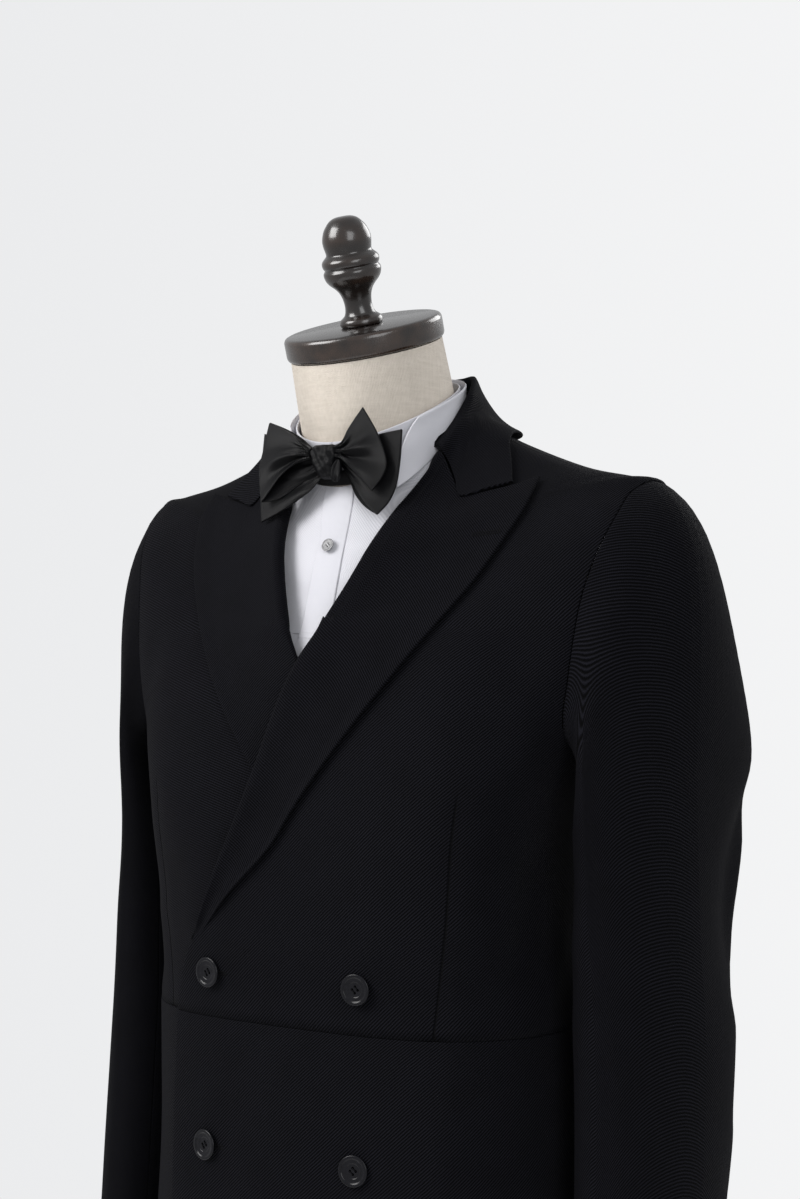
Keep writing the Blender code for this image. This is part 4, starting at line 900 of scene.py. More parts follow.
# Soft folds of the jacket's body: start and end (metres across from the front middle, height),
# width, how far it stands out or in. Those of the left side repeat on the right, a little changed.
bodyFolds = (
    (0.045, 1.040, 0.050, 0.800, 0.020, -0.0016),
    (0.100, 1.045, 0.115, 0.760, 0.026, 0.0022),
    (0.165, 1.000, 0.180, 0.750, 0.022, -0.0020),
    (0.125, 1.200, 0.112, 1.060, 0.016, -0.0012),
    (0.060, 1.110, 0.175, 1.125, 0.014, 0.0010),
    (0.205, 1.180, 0.150, 1.060, 0.016, -0.0018),
    (0.235, 1.120, 0.175, 1.040, 0.012, 0.0014),
    (0.170, 1.330, 0.200, 1.210, 0.018, -0.0018),
    (0.250, 0.990, 0.262, 0.750, 0.024, 0.0026),
    (0.330, 0.980, 0.340, 0.750, 0.024, -0.0022),
    (0.410, 1.000, 0.418, 0.750, 0.028, 0.0028),
    (0.330, 1.320, 0.360, 1.120, 0.018, -0.0022),
    (0.365, 1.330, 0.390, 1.130, 0.014, 0.0018),
    (0.300, 1.085, 0.470, 1.060, 0.013, -0.0020),
    (0.320, 1.060, 0.450, 1.030, 0.011, 0.0014),
    (0.420, 1.400, 0.470, 1.300, 0.020, -0.0014),
)


def foldHeight(place, folds):
    total = np.zeros(place.shape[:-1])
    for x0, z0, x1, z1, width, height in folds:
        start = np.array([x0, z0])
        run = np.array([x1, z1]) - start
        length = float(np.hypot(*run))
        run = run / length
        off = place - start
        along = (off @ run) / length
        side = off[..., 0] * run[1] - off[..., 1] * run[0]
        bend = 0.35 * width * np.sin(along * 5.0 + 40.0 * x0)
        taper = smoothStep((along + 0.15) / 0.40) * (1 - smoothStep((along - 0.75) / 0.40))
        total = total + height * np.exp(-((side - bend) / width) ** 2) * taper
    return total


# Small unevenness everywhere: height, waves across and up, shift
unevenness = (
    (0.000180, 31, 9, 0.6),
    (0.000150, -23, 17, 1.9),
    (0.000108, 39, 47, 0.0),
)


def drape(q, v):
    # how far the cloth stands out or in at each place of the body
    grain = bodyGrain(q, v)
    height = body(q, v)[..., 2]
    across = np.where(q < 0, grain[..., 0] * -1.03 + 0.004, grain[..., 0])
    place = np.stack([across, np.where(q < 0, height + 0.006, height)], axis=-1)
    rise = foldHeight(place, bodyFolds)
    u, w = grain[..., 0], height
    for size, byU, byW, shift in unevenness:
        rise = rise + size * np.sin(byU * u + byW * w + shift)
    calm = smoothStep((v - 8.2) / 1.6)
    return rise * (1 - 0.8 * calm)


def meshOf(name, points, quads, grain, values):
    mesh = bpy.data.meshes.new(name)
    mesh.from_pydata(points.tolist(), [], quads.tolist())
    layer = mesh.uv_layers.new(name="grain")
    layer.data.foreach_set("uv", grain[quads.ravel()].astype(np.float32).ravel())
    for word, numbers in values.items():
        attribute = mesh.attributes.new(word, "FLOAT", "POINT")
        attribute.data.foreach_set("value", numbers.astype(np.float32).ravel())
    return mesh


def weld(mesh, outward):
    work = bmesh.new()
    work.from_mesh(mesh)
    bmesh.ops.remove_doubles(work, verts=work.verts, dist=1e-6)
    if outward:
        bmesh.ops.recalc_face_normals(work, faces=work.faces)
    work.to_mesh(mesh)
    work.free()


def shell(name, outer, inner, grain, material, slot, joined=False, marks=None):
    # a closed wall of cloth between two nets of points with the same rows and columns
    rows, columns = outer.shape[:2]
    count = rows * columns
    index = np.arange(count).reshape(rows, columns)
    a, b, c, d = index[:-1, :-1], index[:-1, 1:], index[1:, 1:], index[1:, :-1]
    quads = [np.stack([a, b, c, d], axis=-1).reshape(-1, 4)]
    quads.append(np.stack([d, c, b, a], axis=-1).reshape(-1, 4) + count)
    # rims join the two nets along the first and last rows and, on an open wall, its sides
    rims = [index[0, ::-1], index[-1]]
    if not joined:
        rims += [index[:, 0], index[::-1, -1]]
    for rim in rims:
        quads.append(np.stack([rim[:-1], rim[1:], rim[1:] + count, rim[:-1] + count], axis=-1))
    quads = np.concatenate(quads)
    points = np.concatenate([outer.reshape(-1, 3), inner.reshape(-1, 3)])
    corners = points[quads] - points.mean(axis=0)
    volume = sum(
        np.einsum("ij,ij->i", corners[:, 0], np.cross(corners[:, k], corners[:, k + 1])).sum()
        for k in (1, 2)
    )
    if volume < 0:
        quads = quads[:, ::-1]
    marks = {word: np.concatenate([numbers.ravel()] * 2) for word, numbers in (marks or {}).items()}
    mesh = meshOf(name, points, quads, np.concatenate([grain.reshape(-1, 2)] * 2), marks)
    if joined:
        weld(mesh, outward=False)
    mesh.shade_smooth()
    return addPiece(name, mesh, material)


def addPiece(name, mesh, material):
    mesh.materials.append(material)
    piece = bpy.data.objects.new(name, mesh)
    scene.collection.objects.link(piece)
    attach(piece, "root")
    return piece


def clothPiece(name, node, outer, inner, grain, material, slot, restsOn, base=None, **wall):
    # a wall of cloth that takes its solid's place; base is not used
    piece = shell(name, outer, inner, grain, material, slot, **wall)
    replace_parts(piece, node)


# The darts: points from the top down, on the left front (distance out, height)
dartLine = ((0.1300, 1.2130), (0.1200, 1.1200), (0.1123, 1.0510))


def dartMarks(q, v):
    # signed distance from the dart's line and how much of it is sewn there
    place = body(q, v)
    x, z = np.abs(place[..., 0]), place[..., 2]
    points = np.array(dartLine)
    line = np.interp(z, points[::-1, 1], points[::-1, 0])
    side = x - line
    reach = smoothStep((points[0, 1] - z) / 0.006)
    reach = reach * (place[..., 1] < 0)
    return {"dartSide": side, "dartReach": reach}


def spread(first, last, shares):
    return first[:, None] + (last - first)[:, None] * shares[None]


def betweenEdges(far, farV, near, nearV, shares):
    return spread(far, near, shares), spread(farV, nearV, shares)


# Materials. Cloth patterns follow each piece's own grain map, in metres.


class Shading:
    # one material's nodes, with short names for those that the cloths share
    def __init__(self, name):
        self.material = bpy.data.materials.new(name)
        self.material.use_nodes = True
        self.shader = self.material.node_tree.nodes["Principled BSDF"]

    def node(self, kind, sockets={}, **settings):
        return addNode(self.material.node_tree, kind, sockets, **settings)

    def math(self, operation, first, second=0.0, third=0.0):
        return self.node("ShaderNodeMath", {0: first, 1: second, 2: third}, operation=operation).outputs[0]

    def within(self, value):
        return self.math("MINIMUM", self.math("MAXIMUM", value, 0.0), 1.0)

    def grain(self, turn=0.0):
        source = self.node("ShaderNodeUVMap", uv_map="grain").outputs[0]
        turned = {"Vector": source, "Rotation": (0, 0, math.radians(turn))}
        parts = self.node("ShaderNodeSeparateXYZ", {0: self.node("ShaderNodeMapping", turned).outputs[0]})
        return parts.outputs[0], parts.outputs[1]

    def noise(self, scale, detail=2.0, roughness=0.5, stretch=None):
        vector = self.node("ShaderNodeTexCoord").outputs["Object"]
        if stretch:
            vector = self.node("ShaderNodeMapping", {"Vector": vector, "Scale": stretch}).outputs[0]
        look = {"Vector": vector, "Scale": scale, "Detail": detail, "Roughness": roughness}
        return self.node("ShaderNodeTexNoise", look).outputs["Fac"]

    def ridges(self, along, pitch, shift=0.0):
        # 0 in the valleys and 1 on the ridges of a row of ribs
        turns = self.math("MULTIPLY_ADD", along, 2 * math.pi / pitch, shift)
        return self.math("MULTIPLY_ADD", self.math("SINE", turns), 0.5, 0.5)

    def between(self, factor, low, high):
        # a number from low to high as the factor goes from 0 to 1
        return self.math("MULTIPLY_ADD", factor, high - low, low)

    def tint(self, factor, dark, light):
        dark, light = ((*tone, 1) if isinstance(tone, tuple) else tone for tone in (dark, light))
        return self.node("ShaderNodeMix", {0: factor, 6: dark, 7: light}, data_type="RGBA").outputs[2]

    def attribute(self, name):
        return self.node("ShaderNodeAttribute", attribute_name=name).outputs["Fac"]

    def bump(self, height, distance, strength=1.0):
        return self.node(
            "ShaderNodeBump", {"Height": height, "Distance": distance, "Strength": strength},
        ).outputs[0]

    def finish(self, colour, roughness, normal, **constants):
        links = self.material.node_tree.links
        for name, output in (("Base Color", colour), ("Roughness", roughness), ("Normal", normal)):
            if isinstance(output, bpy.types.NodeSocket):
                links.new(output, self.shader.inputs[name])
            else:
                self.shader.inputs[name].default_value = output
        for name, value in constants.items():
            self.shader.inputs[name.replace("_", " ")].default_value = value
        return self.material


# The jacket's twill: how its ribs slope, in degrees up to the right, on each kind of piece
twillLook = {
    "pitch": 0.00172,
    # the valley colour is painted shade in the twill's valleys, and the lighter, bluer rib colour is the
    # cloth's own blue tinge with painted highlight on the ribs
    "valleyShade": (0.0002, 0.0002, 0.0003),
    "rib": (0.0092, 0.0092, 0.0130),
    "depth": 0.00060,
    "roughness": 0.74,
    "sheen": 0.010,
    "dartWidth": 0.0011,
    "slopes": {"body": 43.0, "lapel": -13.0, "collar": -72.0, "rightFront": -16.0},
}


def makeTwill(name, slope, seams=False):
    look = twillLook
    s = Shading(name)
    along, across = s.grain(-slope)
    waver = s.noise(260.0, 1.0)
    across = s.math("MULTIPLY_ADD", waver, 0.00035, across)
    rib = s.ridges(across, look["pitch"])
    yarn = s.ridges(along, look["pitch"] * 1.3)
    height = s.math("MULTIPLY_ADD", yarn, 0.22, rib)
    fuzz = s.noise(1500.0, 2.0)
    height = s.math("MULTIPLY_ADD", fuzz, 0.18, height)
    patchy = s.noise(38.0, 3.0)
    # ribs painted lighter than the valleys: painted highlight on the ribs and painted shade between them,
    # over the bump
    share = s.math("MULTIPLY", s.math("POWER", rib, 1.5), s.between(patchy, 0.60, 1.20))
    share = s.math("MULTIPLY_ADD", fuzz, 0.10, share)
    colour = s.tint(share, look["valleyShade"], look["rib"])
    if seams:
        # the dart is a fine stitched-down line that the panel carries as a distance; along it the bump sinks
        # and the colour is darkened as painted shade in the seam's groove
        off = s.math("ABSOLUTE", s.attribute("dartSide"))
        line = s.within(s.math("MULTIPLY_ADD", off, -1 / look["dartWidth"], 1.0))
        line = s.math("MULTIPLY", line, s.attribute("dartReach"))
        height = s.math("MULTIPLY_ADD", line, -3.0, height)
        # painted shade along the dart's groove
        colour = s.tint(line, colour, (0.002, 0.002, 0.0026))
    normal = s.bump(height, look["depth"], 0.9)
    rough = s.between(patchy, look["roughness"] - 0.04, look["roughness"] + 0.06)
    return s.finish(
        colour, rough, normal,
        Sheen_Weight=look["sheen"], Sheen_Roughness=0.45, Specular_IOR_Level=0.04,
    )


shirtLook = {
    "white": (0.66, 0.66, 0.70),
    "shade": (0.50, 0.50, 0.55),
    "twillPitch": 0.00110,
    "ribPitch": 0.00085,
}


def makeCotton(name, pitch, slope, depth):
    s = Shading(name)
    along, across = s.grain(-slope)
    rib = s.ridges(across, pitch)
    yarn = s.ridges(along, pitch * 0.8)
    height = s.math("MULTIPLY_ADD", yarn, 0.2, rib)
    height = s.math("MULTIPLY_ADD", s.noise(1400.0, 2.0), 0.3, height)
    slub = s.noise(55.0, 2.0)
    share = s.math("MULTIPLY", s.between(rib, 0.5, 1.0), s.between(slub, 0.75, 1.15))
    colour = s.tint(share, shirtLook["shade"], shirtLook["white"])
    normal = s.bump(height, depth, 0.8)
    return s.finish(colour, s.between(slub, 0.72, 0.86), normal, Sheen_Weight=0.05, Specular_IOR_Level=0.3)


satinLook = {
    "pitch": 0.00075,
    # the valley colour is painted shade between the satin's ribs, and the lighter rib colour is the satin's
    # black with painted highlight
    "valleyShade": (0.0006, 0.0006, 0.0008),
    "rib": (0.0040, 0.0040, 0.0052),
    "roughness": 0.36,
}


def makeSatin(name):
    s = Shading(name)
    along, _ = s.grain(0.0)
    rib = s.ridges(along, satinLook["pitch"])
    fuzz = s.noise(1600.0, 2.0)
    height = s.math("MULTIPLY_ADD", fuzz, 0.25, rib)
    patchy = s.noise(60.0, 2.0)
    # ribs painted lighter than the valleys: painted highlight on the ribs and painted shade between them,
    # over the bump
    share = s.math("MULTIPLY", rib, s.between(patchy, 0.6, 1.2))
    colour = s.tint(share, satinLook["valleyShade"], satinLook["rib"])
    normal = s.bump(height, 0.00016, 0.8)
    rough = s.between(patchy, satinLook["roughness"] - 0.05, satinLook["roughness"] + 0.08)
    return s.finish(colour, rough, normal, Sheen_Weight=0.0, Specular_IOR_Level=0.15)


def makeLinen(name):
    # beige plain weave with thick and thin threads
    s = Shading(name)
    u, v = s.grain(0.0)
    wobble = s.noise(120.0, 2.0)
    u = s.math("MULTIPLY_ADD", wobble, 0.0009, u)
    v = s.math("MULTIPLY_ADD", wobble, -0.0008, v)
    warp = s.ridges(u, 0.00115)
    weft = s.ridges(v, 0.00125, 1.3)
    thread = s.math("MAXIMUM", warp, weft)
    slubU = s.noise(90.0, 2.0, stretch=(6.0, 6.0, 0.7))
    slubV = s.noise(90.0, 2.0, stretch=(0.7, 0.7, 6.0))
    height = s.math("MULTIPLY_ADD", slubU, 0.8, thread)
    height = s.math("MULTIPLY_ADD", slubV, 0.8, height)
    share = s.math("MULTIPLY_ADD", s.math("ADD", slubU, slubV), 0.55, s.math("MULTIPLY", thread, 0.35))
    colour = s.tint(share, (0.45, 0.395, 0.33), (0.72, 0.655, 0.575))
    return s.finish(colour, 0.9, s.bump(height, 0.0003, 0.7), Sheen_Weight=0.08, Specular_IOR_Level=0.2)


def makeHorn(name, dark, light, roughness, gloss):
    s = Shading(name)
    cloud = s.noise(160.0, 4.0, 0.6, stretch=(1.0, 1.0, 2.5))
    fine = s.noise(900.0, 2.0)
    share = s.math("MULTIPLY_ADD", fine, 0.15, s.math("MULTIPLY", cloud, 0.9))
    colour = s.tint(share, dark, light)
    rough = s.between(fine, roughness, roughness + 0.10)
    normal = s.bump(fine, 0.00003, 0.5)
    return s.finish(colour, rough, normal, Specular_IOR_Level=gloss)


def makeWood(name):
    # near-black stained wood, browner where handling has worn it
    s = Shading(name)
    ring = s.noise(26.0, 4.0, 0.65, stretch=(1.0, 1.0, 5.0))
    pore = s.noise(420.0, 3.0, 0.6, stretch=(1.0, 1.0, 0.16))
    share = s.math("MULTIPLY_ADD", pore, 0.5, s.math("MULTIPLY", ring, 0.6))
    colour = s.tint(share, (0.0022, 0.0016, 0.0015), (0.0135, 0.0082, 0.0060))
    worn = s.math("MULTIPLY", s.attribute("worn"), s.between(s.noise(70.0, 3.0), -0.6, 1.6))
    colour = s.tint(s.within(worn), colour, (0.060, 0.034, 0.022))
    rough = s.between(pore, 0.20, 0.34)
    return s.finish(colour, rough, s.bump(pore, 0.00018, 0.6), Coat_Weight=0.7, Coat_Roughness=0.14)


def makeSteel(name):
    s = Shading(name)
    grit = s.noise(700.0, 2.0)
    cloud = s.noise(9.0, 3.0)
    colour = s.tint(cloud, (0.012, 0.011, 0.011), (0.026, 0.024, 0.023))
    rough = s.between(cloud, 0.34, 0.50)
    return s.finish(colour, rough, s.bump(grit, 0.00008, 0.6), Metallic=0.35)


def makeThread(name, colour):
    s = Shading(name)
    twist = s.noise(2600.0, 2.0)
    dark = tuple(0.55 * value for value in colour)
    return s.finish(s.tint(twist, dark, colour), 0.7, s.bump(twist, 0.0001, 0.6), Specular_IOR_Level=0.10)


twillBody = makeTwill("twill_body", twillLook["slopes"]["body"], seams=True)
twillRight = makeTwill("twill_right_front", twillLook["slopes"]["rightFront"], seams=True)
twillSleeve = makeTwill("twill_sleeve", twillLook["slopes"]["body"])
twillLapel = makeTwill("twill_lapel", twillLook["slopes"]["lapel"])
twillCollar = makeTwill("twill_collar", twillLook["slopes"]["collar"])
shirtTwill = makeCotton("shirt_twill", shirtLook["twillPitch"], 62.0, 0.00018)
shirtPlain = makeCotton("shirt_ribbed", shirtLook["ribPitch"], 90.0, 0.00014)
ribbedSatin = makeSatin("ribbed_satin")
linenWeave = makeLinen("linen_weave")
blackHorn = makeHorn("black_horn", (0.0022, 0.0022, 0.0028), (0.009, 0.009, 0.012), 0.13, 0.22)
greyPearl = makeHorn("grey_pearl", (0.035, 0.035, 0.038), (0.30, 0.30, 0.31), 0.16, 0.5)
stainedWood = makeWood("stained_wood")
paintedSteel = makeSteel("painted_steel")
blackThread = makeThread("black_thread", (0.0030, 0.0030, 0.0040))
greyThread = makeThread("grey_thread", (0.10, 0.10, 0.11))
print("materials ready")


# The jacket's fronts, backs and skirts
panelLook = {"columns": 76, "skirtRows": 58, "rollBack": 0.0036, "dartDepth": 0.0007}


def panelPiece(name, q, v, rise, edges, material, marks=None):
    base = raised(q, v, rise)
    outer = raised(q, v, rise - roundedEdge(base, edges))
    inner = raised(q, v, rise - jacketWall)
    clothPiece(
        f"{name}_cloth", name, outer, inner, bodyGrain(q, v), material, "wool", ["form_body"],
        base=base, marks=marks,
    )


def skirtRows():
    v = waistRow * withEdges(0.30, panelLook["skirtRows"])
    v[-1] -= 0.5 * seamGap / (bodyRings[3, 0] - bodyRings[2, 0])
    return v, np.full(len(v), underarmSeam)


def jacketFront(side, material):
    word = "left" if side > 0 else "right"
    v, seam = bodiceRows(hind=False)
    seam = seam - stepOf(seam, v, 0.5 * seamGap)
    even = np.linspace(v[0], v[-1], len(v))
    edge = np.minimum(edgeTurn(even, side), seam - 0.03)
    height = body(edge, even)[:, 2]
    back = panelLook["rollBack"] * smoothStep((height - lapelEdge[0, 0]) / 0.02)
    edge = edge + stepOf(edge, even, back)
    q, rows = betweenEdges(edge, even, seam, v, withEdges(0.20, panelLook["columns"]))
    q = q * side
    marks = dartMarks(q, rows)
    rise = overlap(side, q, rows) + drape(q, rows)
    rise = rise - panelLook["dartDepth"] * np.exp(-(marks["dartSide"] / 0.006) ** 2) * marks["dartReach"]
    panelPiece(f"{word}_front", q, rows, rise, ("first", "last", "foot"), material, marks)
    v, seam = skirtRows()
    seam = seam - stepOf(seam, v, 0.5 * seamGap)
    q = spread(edgeTurn(v, side), seam, withEdges(0.30, panelLook["columns"])) * side
    rows = v[:, None]
    marks = dartMarks(q, rows)
    marks["dartReach"] = marks["dartReach"] * 0
    rise = overlap(side, q, rows) + drape(q, rows)
    panelPiece(f"{word}_front_skirt", q, rows, rise, ("first", "last", "foot", "top"), material, marks)


def jacketBack(side, material):
    word = "left" if side > 0 else "right"
    v, seam = bodiceRows(hind=True)
    seam = seam + stepOf(seam, v, 0.5 * seamGap)
    even = np.linspace(v[0], v[-1], len(v))
    middle = centreBack - stepOf(np.full(len(v), centreBack), even, 0.5 * seamGap)
    q, rows = betweenEdges(seam, v, middle, even, withEdges(0.20, panelLook["columns"]))
    q = q * side
    panelPiece(f"{word}_back", q, rows, drape(q, rows), ("first", "last", "foot"), material)
    v, seam = skirtRows()
    seam = seam + stepOf(seam, v, 0.5 * seamGap)
    middle = centreBack - stepOf(np.full(len(v), centreBack), v, 0.5 * seamGap)
    q = spread(seam, middle, withEdges(0.24, panelLook["columns"])) * side
    rows = v[:, None]
    panelPiece(f"{word}_back_skirt", q, rows, drape(q, rows), ("first", "last", "foot", "top"), material)


# The lapels. The roll's section, from under the front's edge round to its face:
# outer and inner distance from the edge and rise.
lapelLook = {
    "columns": 54,
    "rows": 120,
    "lift": 0.0016,           # how far the edge stands off the front
    "edgeRadius": 0.0018,
    "edgeDepth": 0.0012,
    "seamRadius": 0.0008,
    "seamDepth": 0.0004,
}
rollSection = np.array([
    (0.0080, -0.0032, 0.0080, -0.0024),
    (0.0045, -0.0031, 0.0045, -0.0023),
    (0.0020, -0.0026, 0.0034, -0.0022),
    (0.0006, -0.0013, 0.0023, -0.0010),
    (-0.0001, 0.0003, 0.0018, 0.0004),
    (0.0000, 0.0018, 0.0018, 0.0015),
])


def lapel(side, material):
    word = "left" if side > 0 else "right"
    even = withEdges(0.08, lapelLook["columns"], first=False)
    shares = np.concatenate([[0.010, 0.018, 0.028], 0.04 + 0.96 * even])
    steps = withEdges(0.36, lapelLook["rows"])
    q, v = lapelNet(side, shares, steps)
    rollQ, rollV = (values[:, 0] for values in lapelNet(side, np.zeros(1), steps))
    across, up = shares[None], steps[:, None]
    high = rollRise + (neckRollRise - rollRise) * smoothStep((up - 0.80) / 0.20)
    bulge = curveThrough(rollShares[:, 0], rollShares[:, 1], shares)[None] * np.ones((len(steps), 1))
    if side < 0:
        bulge = bulge * smoothStep((body(q, v)[..., 2] - 1.300) / 0.035)
    lift = lapelLook["lift"] * smoothStep((across - 0.80) / 0.2) * smoothStep(up / 0.15)
    # the foot sinks into the front, where the roll runs out into its edge
    sunk = (lapelGap + lapelWall + 0.0004) * (1 - smoothStep(up / 0.10))
    rise = overlap(side, q, v) + drape(q, v) + lapelGap + high * bulge * smoothStep(up / 0.05) + lift - sunk
    base = raised(q, v, rise + lapelWall)
    soft = roundedEdge(base, ("last", "foot"), lapelLook["edgeRadius"], lapelLook["edgeDepth"])
    # only the part of the top past the gorge seam is as round as the edge
    free = lapelLook["seamDepth"] + 0.0008 * smoothStep((across - 0.70) / 0.08)
    soft = np.maximum(soft, roundedEdge(base, ("top",), lapelLook["seamRadius"], free))
    outer = raised(q, v, rise + lapelWall - soft)
    inner = raised(q, v, rise)
    width = np.linalg.norm(base[:, -1] - base[:, 0], axis=1)
    scale = smoothStep(width / 0.03)
    under = drape(rollQ, rollV) + overlap(side, rollQ, rollV)
    wrapOut, wrapIn = [], []
    for outS, outR, inS, inR in rollSection:
        for offset, height, rows in ((outS, outR, wrapOut), (inS, inR, wrapIn)):
            turn = rollQ + side * stepOf(np.abs(rollQ), rollV, 1.0) * offset * scale
            low = min(height, 0.0)
            rows.append(raised(turn, rollV, under + low + (height - low) * (0.4 + 0.6 * scale)))
    outer = np.concatenate([np.stack(wrapOut, axis=1), outer], axis=1)
    inner = np.concatenate([np.stack(wrapIn, axis=1), inner], axis=1)
    clothPiece(
        f"{word}_lapel_cloth", f"{word}_lapel", outer, inner, grainOf(outer), material, "wool",
        [f"{word}_front_cloth"],
    )
    return base


# The sleeves
# Folds of a sleeve: start and end (share of a turn from the shoulder round the front, height),
# width and how far it stands out or in
sleeveGirth = 0.26
sleeveFolds = (
    (0.790, 1.200, 0.872, 1.078, 0.0095, 0.0042),
    (0.835, 1.215, 0.905, 1.090, 0.0140, -0.0048),
    (0.760, 1.120, 0.860, 1.050, 0.0140, -0.0030),
    (0.860, 1.075, 0.900, 0.950, 0.0200, 0.0022),
    (0.830, 0.985, 0.850, 0.925, 0.0100, 0.0016),
    (0.300, 1.180, 0.400, 1.060, 0.0160, -0.0026),
    (0.330, 1.120, 0.450, 1.040, 0.0120, 0.0018),
    (0.560, 1.110, 0.740, 1.075, 0.0120, -0.0028),
    (0.600, 1.060, 0.720, 1.040, 0.0100, 0.0018),
    (0.120, 1.280, 0.160, 1.120, 0.0240, -0.0014),
)


def sleeve(side, material):
    word = "left" if side > 0 else "right"
    outer = sleeveNet()
    normal = gridNormals(outer, closed=True)
    if (normal[-1] * (outer[-1] - outer[-1].mean(axis=0))).sum() < 0:
        normal = -normal
    seamNormal = bodyNormal(armholeQ, armholeV)
    fade = smoothStep(np.arange(len(outer)) / 8.0)[:, None, None]
    normal = unit(seamNormal[None] * (1 - fade) + normal * fade)
    share = np.arange(sleeveColumns) / sleeveColumns
    girth = np.linalg.norm(np.roll(outer, -1, axis=1) - outer, axis=2).sum(axis=1)
    heights = outer[..., 2]
    changed, strength = (0.0, 1.0) if side > 0 else (0.004, 0.85)
    folds = [
        (x0 * sleeveGirth, z0 + changed, x1 * sleeveGirth, z1 - changed, width, height * strength)
        for x0, z0, x1, z1, width, height in sleeveFolds
    ]
    place = np.stack([np.repeat(share[None] * sleeveGirth, len(outer), axis=0), heights], axis=2)
    rise = foldHeight(place, folds) * smoothStep((np.arange(len(outer))[:, None] - 3) / 8.0)
    around = 2 * math.pi * share[None]
    ripple = np.sin(2 * around + 21 * heights) + 0.6 * np.sin(3 * around - 34 * heights + 1.0)
    rise = rise + 0.00045 * ripple * smoothStep(np.arange(len(outer))[:, None] / 12.0)
    outer = outer + normal * rise[..., None]
    inner = outer - normal * jacketWall
    columns = {
        "top_sleeve": np.arange(hindArmSeam - sleeveColumns, frontArmSeam + 1),
        "under_sleeve": np.arange(frontArmSeam, hindArmSeam + 1),
    }
    for piece, index in columns.items():
        out = outer[:, index % sleeveColumns].copy()
        inn = inner[:, index % sleeveColumns].copy()
        for net in (out, inn):
            for edge, beside in ((0, 1), (-1, -2)):
                step = net[:, beside] - net[:, edge]
                net[:, edge] += unit(step) * 0.5 * seamGap
        keys = np.arange(len(index), dtype=float)
        wide = float(np.linalg.norm(np.diff(out, axis=1), axis=2).sum(axis=1).mean())
        fineColumns = withEdges(wide, len(index)) * (len(index) - 1)
        rowKeys = np.arange(len(out), dtype=float)
        fineRows = np.unique(np.concatenate([rowKeys, [0.15, 0.4, len(out) - 1.4, len(out) - 1.15]]))
        out = refined(out, rowKeys, keys, fineRows, fineColumns)
        inn = refined(inn, rowKeys, keys, fineRows, fineColumns)
        out = drawnIn(out, inn, roundedEdge(out, ("first", "last", "foot", "top")))
        grain = grainOf(out)
        grain[..., 0] += float(index.mean()) / sleeveColumns * girth[-1]
        grain[..., 1] = -grain[..., 1]
        clothPiece(
            f"{word}_{piece}_cloth", f"{word}_{piece}", mirrored(out, side), mirrored(inn, side),
            grain * np.array([side, 1.0]), material, "wool", [f"{word}_front_cloth"],
        )


# The collar
collarLook = {"columns": 96, "fallRows": 34}


def collar(material):
    along = np.concatenate([np.linspace(0.0, 0.8, 15), np.linspace(0.8, 1.0, 9)[1:]])
    outer, inner = collarHalf(along)
    nearEnd = 0.93 + 0.07 * withEdges(0.012, 5, first=False)[1:]
    fineAlong = np.concatenate([np.linspace(0.0, 0.93, collarLook["columns"] // 2), nearEnd])
    rowKeys = np.arange(len(outer), dtype=float)
    fineRows = np.concatenate([np.linspace(0.0, 4.0, 17), np.linspace(4.0, 9.0, collarLook["fallRows"])[1:]])
    fineRows = np.unique(np.concatenate([fineRows, [8.94, 8.97, 8.985]]))
    outer = refined(outer, rowKeys, along, fineRows, fineAlong)
    inner = refined(inner, rowKeys, along, fineRows, fineAlong)
    soft = roundedEdge(outer, ("top",), 0.0018, 0.0011)
    soft = np.maximum(soft, roundedEdge(outer, ("last",), 0.0008, 0.0004))
    outer = drawnIn(outer, inner, soft)
    outer = np.concatenate([mirrored(outer[:, :0:-1], -1), outer], axis=1)
    inner = np.concatenate([mirrored(inner[:, :0:-1], -1), inner], axis=1)
    clothPiece(
        "collar_cloth", "collar", outer, inner, grainOf(outer), material, "wool",
        ["left_back_cloth", "right_back_cloth"],
    )


lapelNets = {}
for side, front, rest in ((1, twillBody, twillBody), (-1, twillRight, twillBody)):
    jacketFront(side, front)
    jacketBack(side, rest)
    lapelNets["left_lapel" if side > 0 else "right_lapel"] = lapel(side, twillLapel)
    sleeve(side, twillSleeve)
collar(twillCollar)
print("jacket ready")


# The shirt
shirtNets = {"rows": 84, "columns": 34}
# How the edges of the shirt and of the bow round off: radius, depth
shirtEdge = (0.0012, 0.0006)
bandEdge = (0.0010, 0.0004)
bowEdge = (0.0012, 0.0005)


def shirtRows(hind):
    return seamRows(hind, 4, shirtHemRow, 7, np.array([9.7, 10.4, 11.0, 11.7, 12.35, 12.97]))


def shirtNet(q, v, more, rows, columns):
    coarse = shirtPoint(q, v, more)
    keys = np.arange(len(coarse), dtype=float), np.arange(coarse.shape[1], dtype=float)
    return refined(coarse, *keys, rows * keys[0][-1], columns * keys[1][-1])


def shirtPanel(node, q, v, rows, columns, material, lift=0.0, wall=shirtWall):
    outer = shirtNet(q, v, -lift, rows, columns)
    inner = shirtNet(q, v, wall - lift, rows, columns)
    outer = drawnIn(outer, inner, roundedEdge(outer, ("first", "last", "foot"), *shirtEdge))
    clothPiece(f"{node}_cloth", node, outer, inner, grainOf(outer), material, "cotton", ["form_body"])


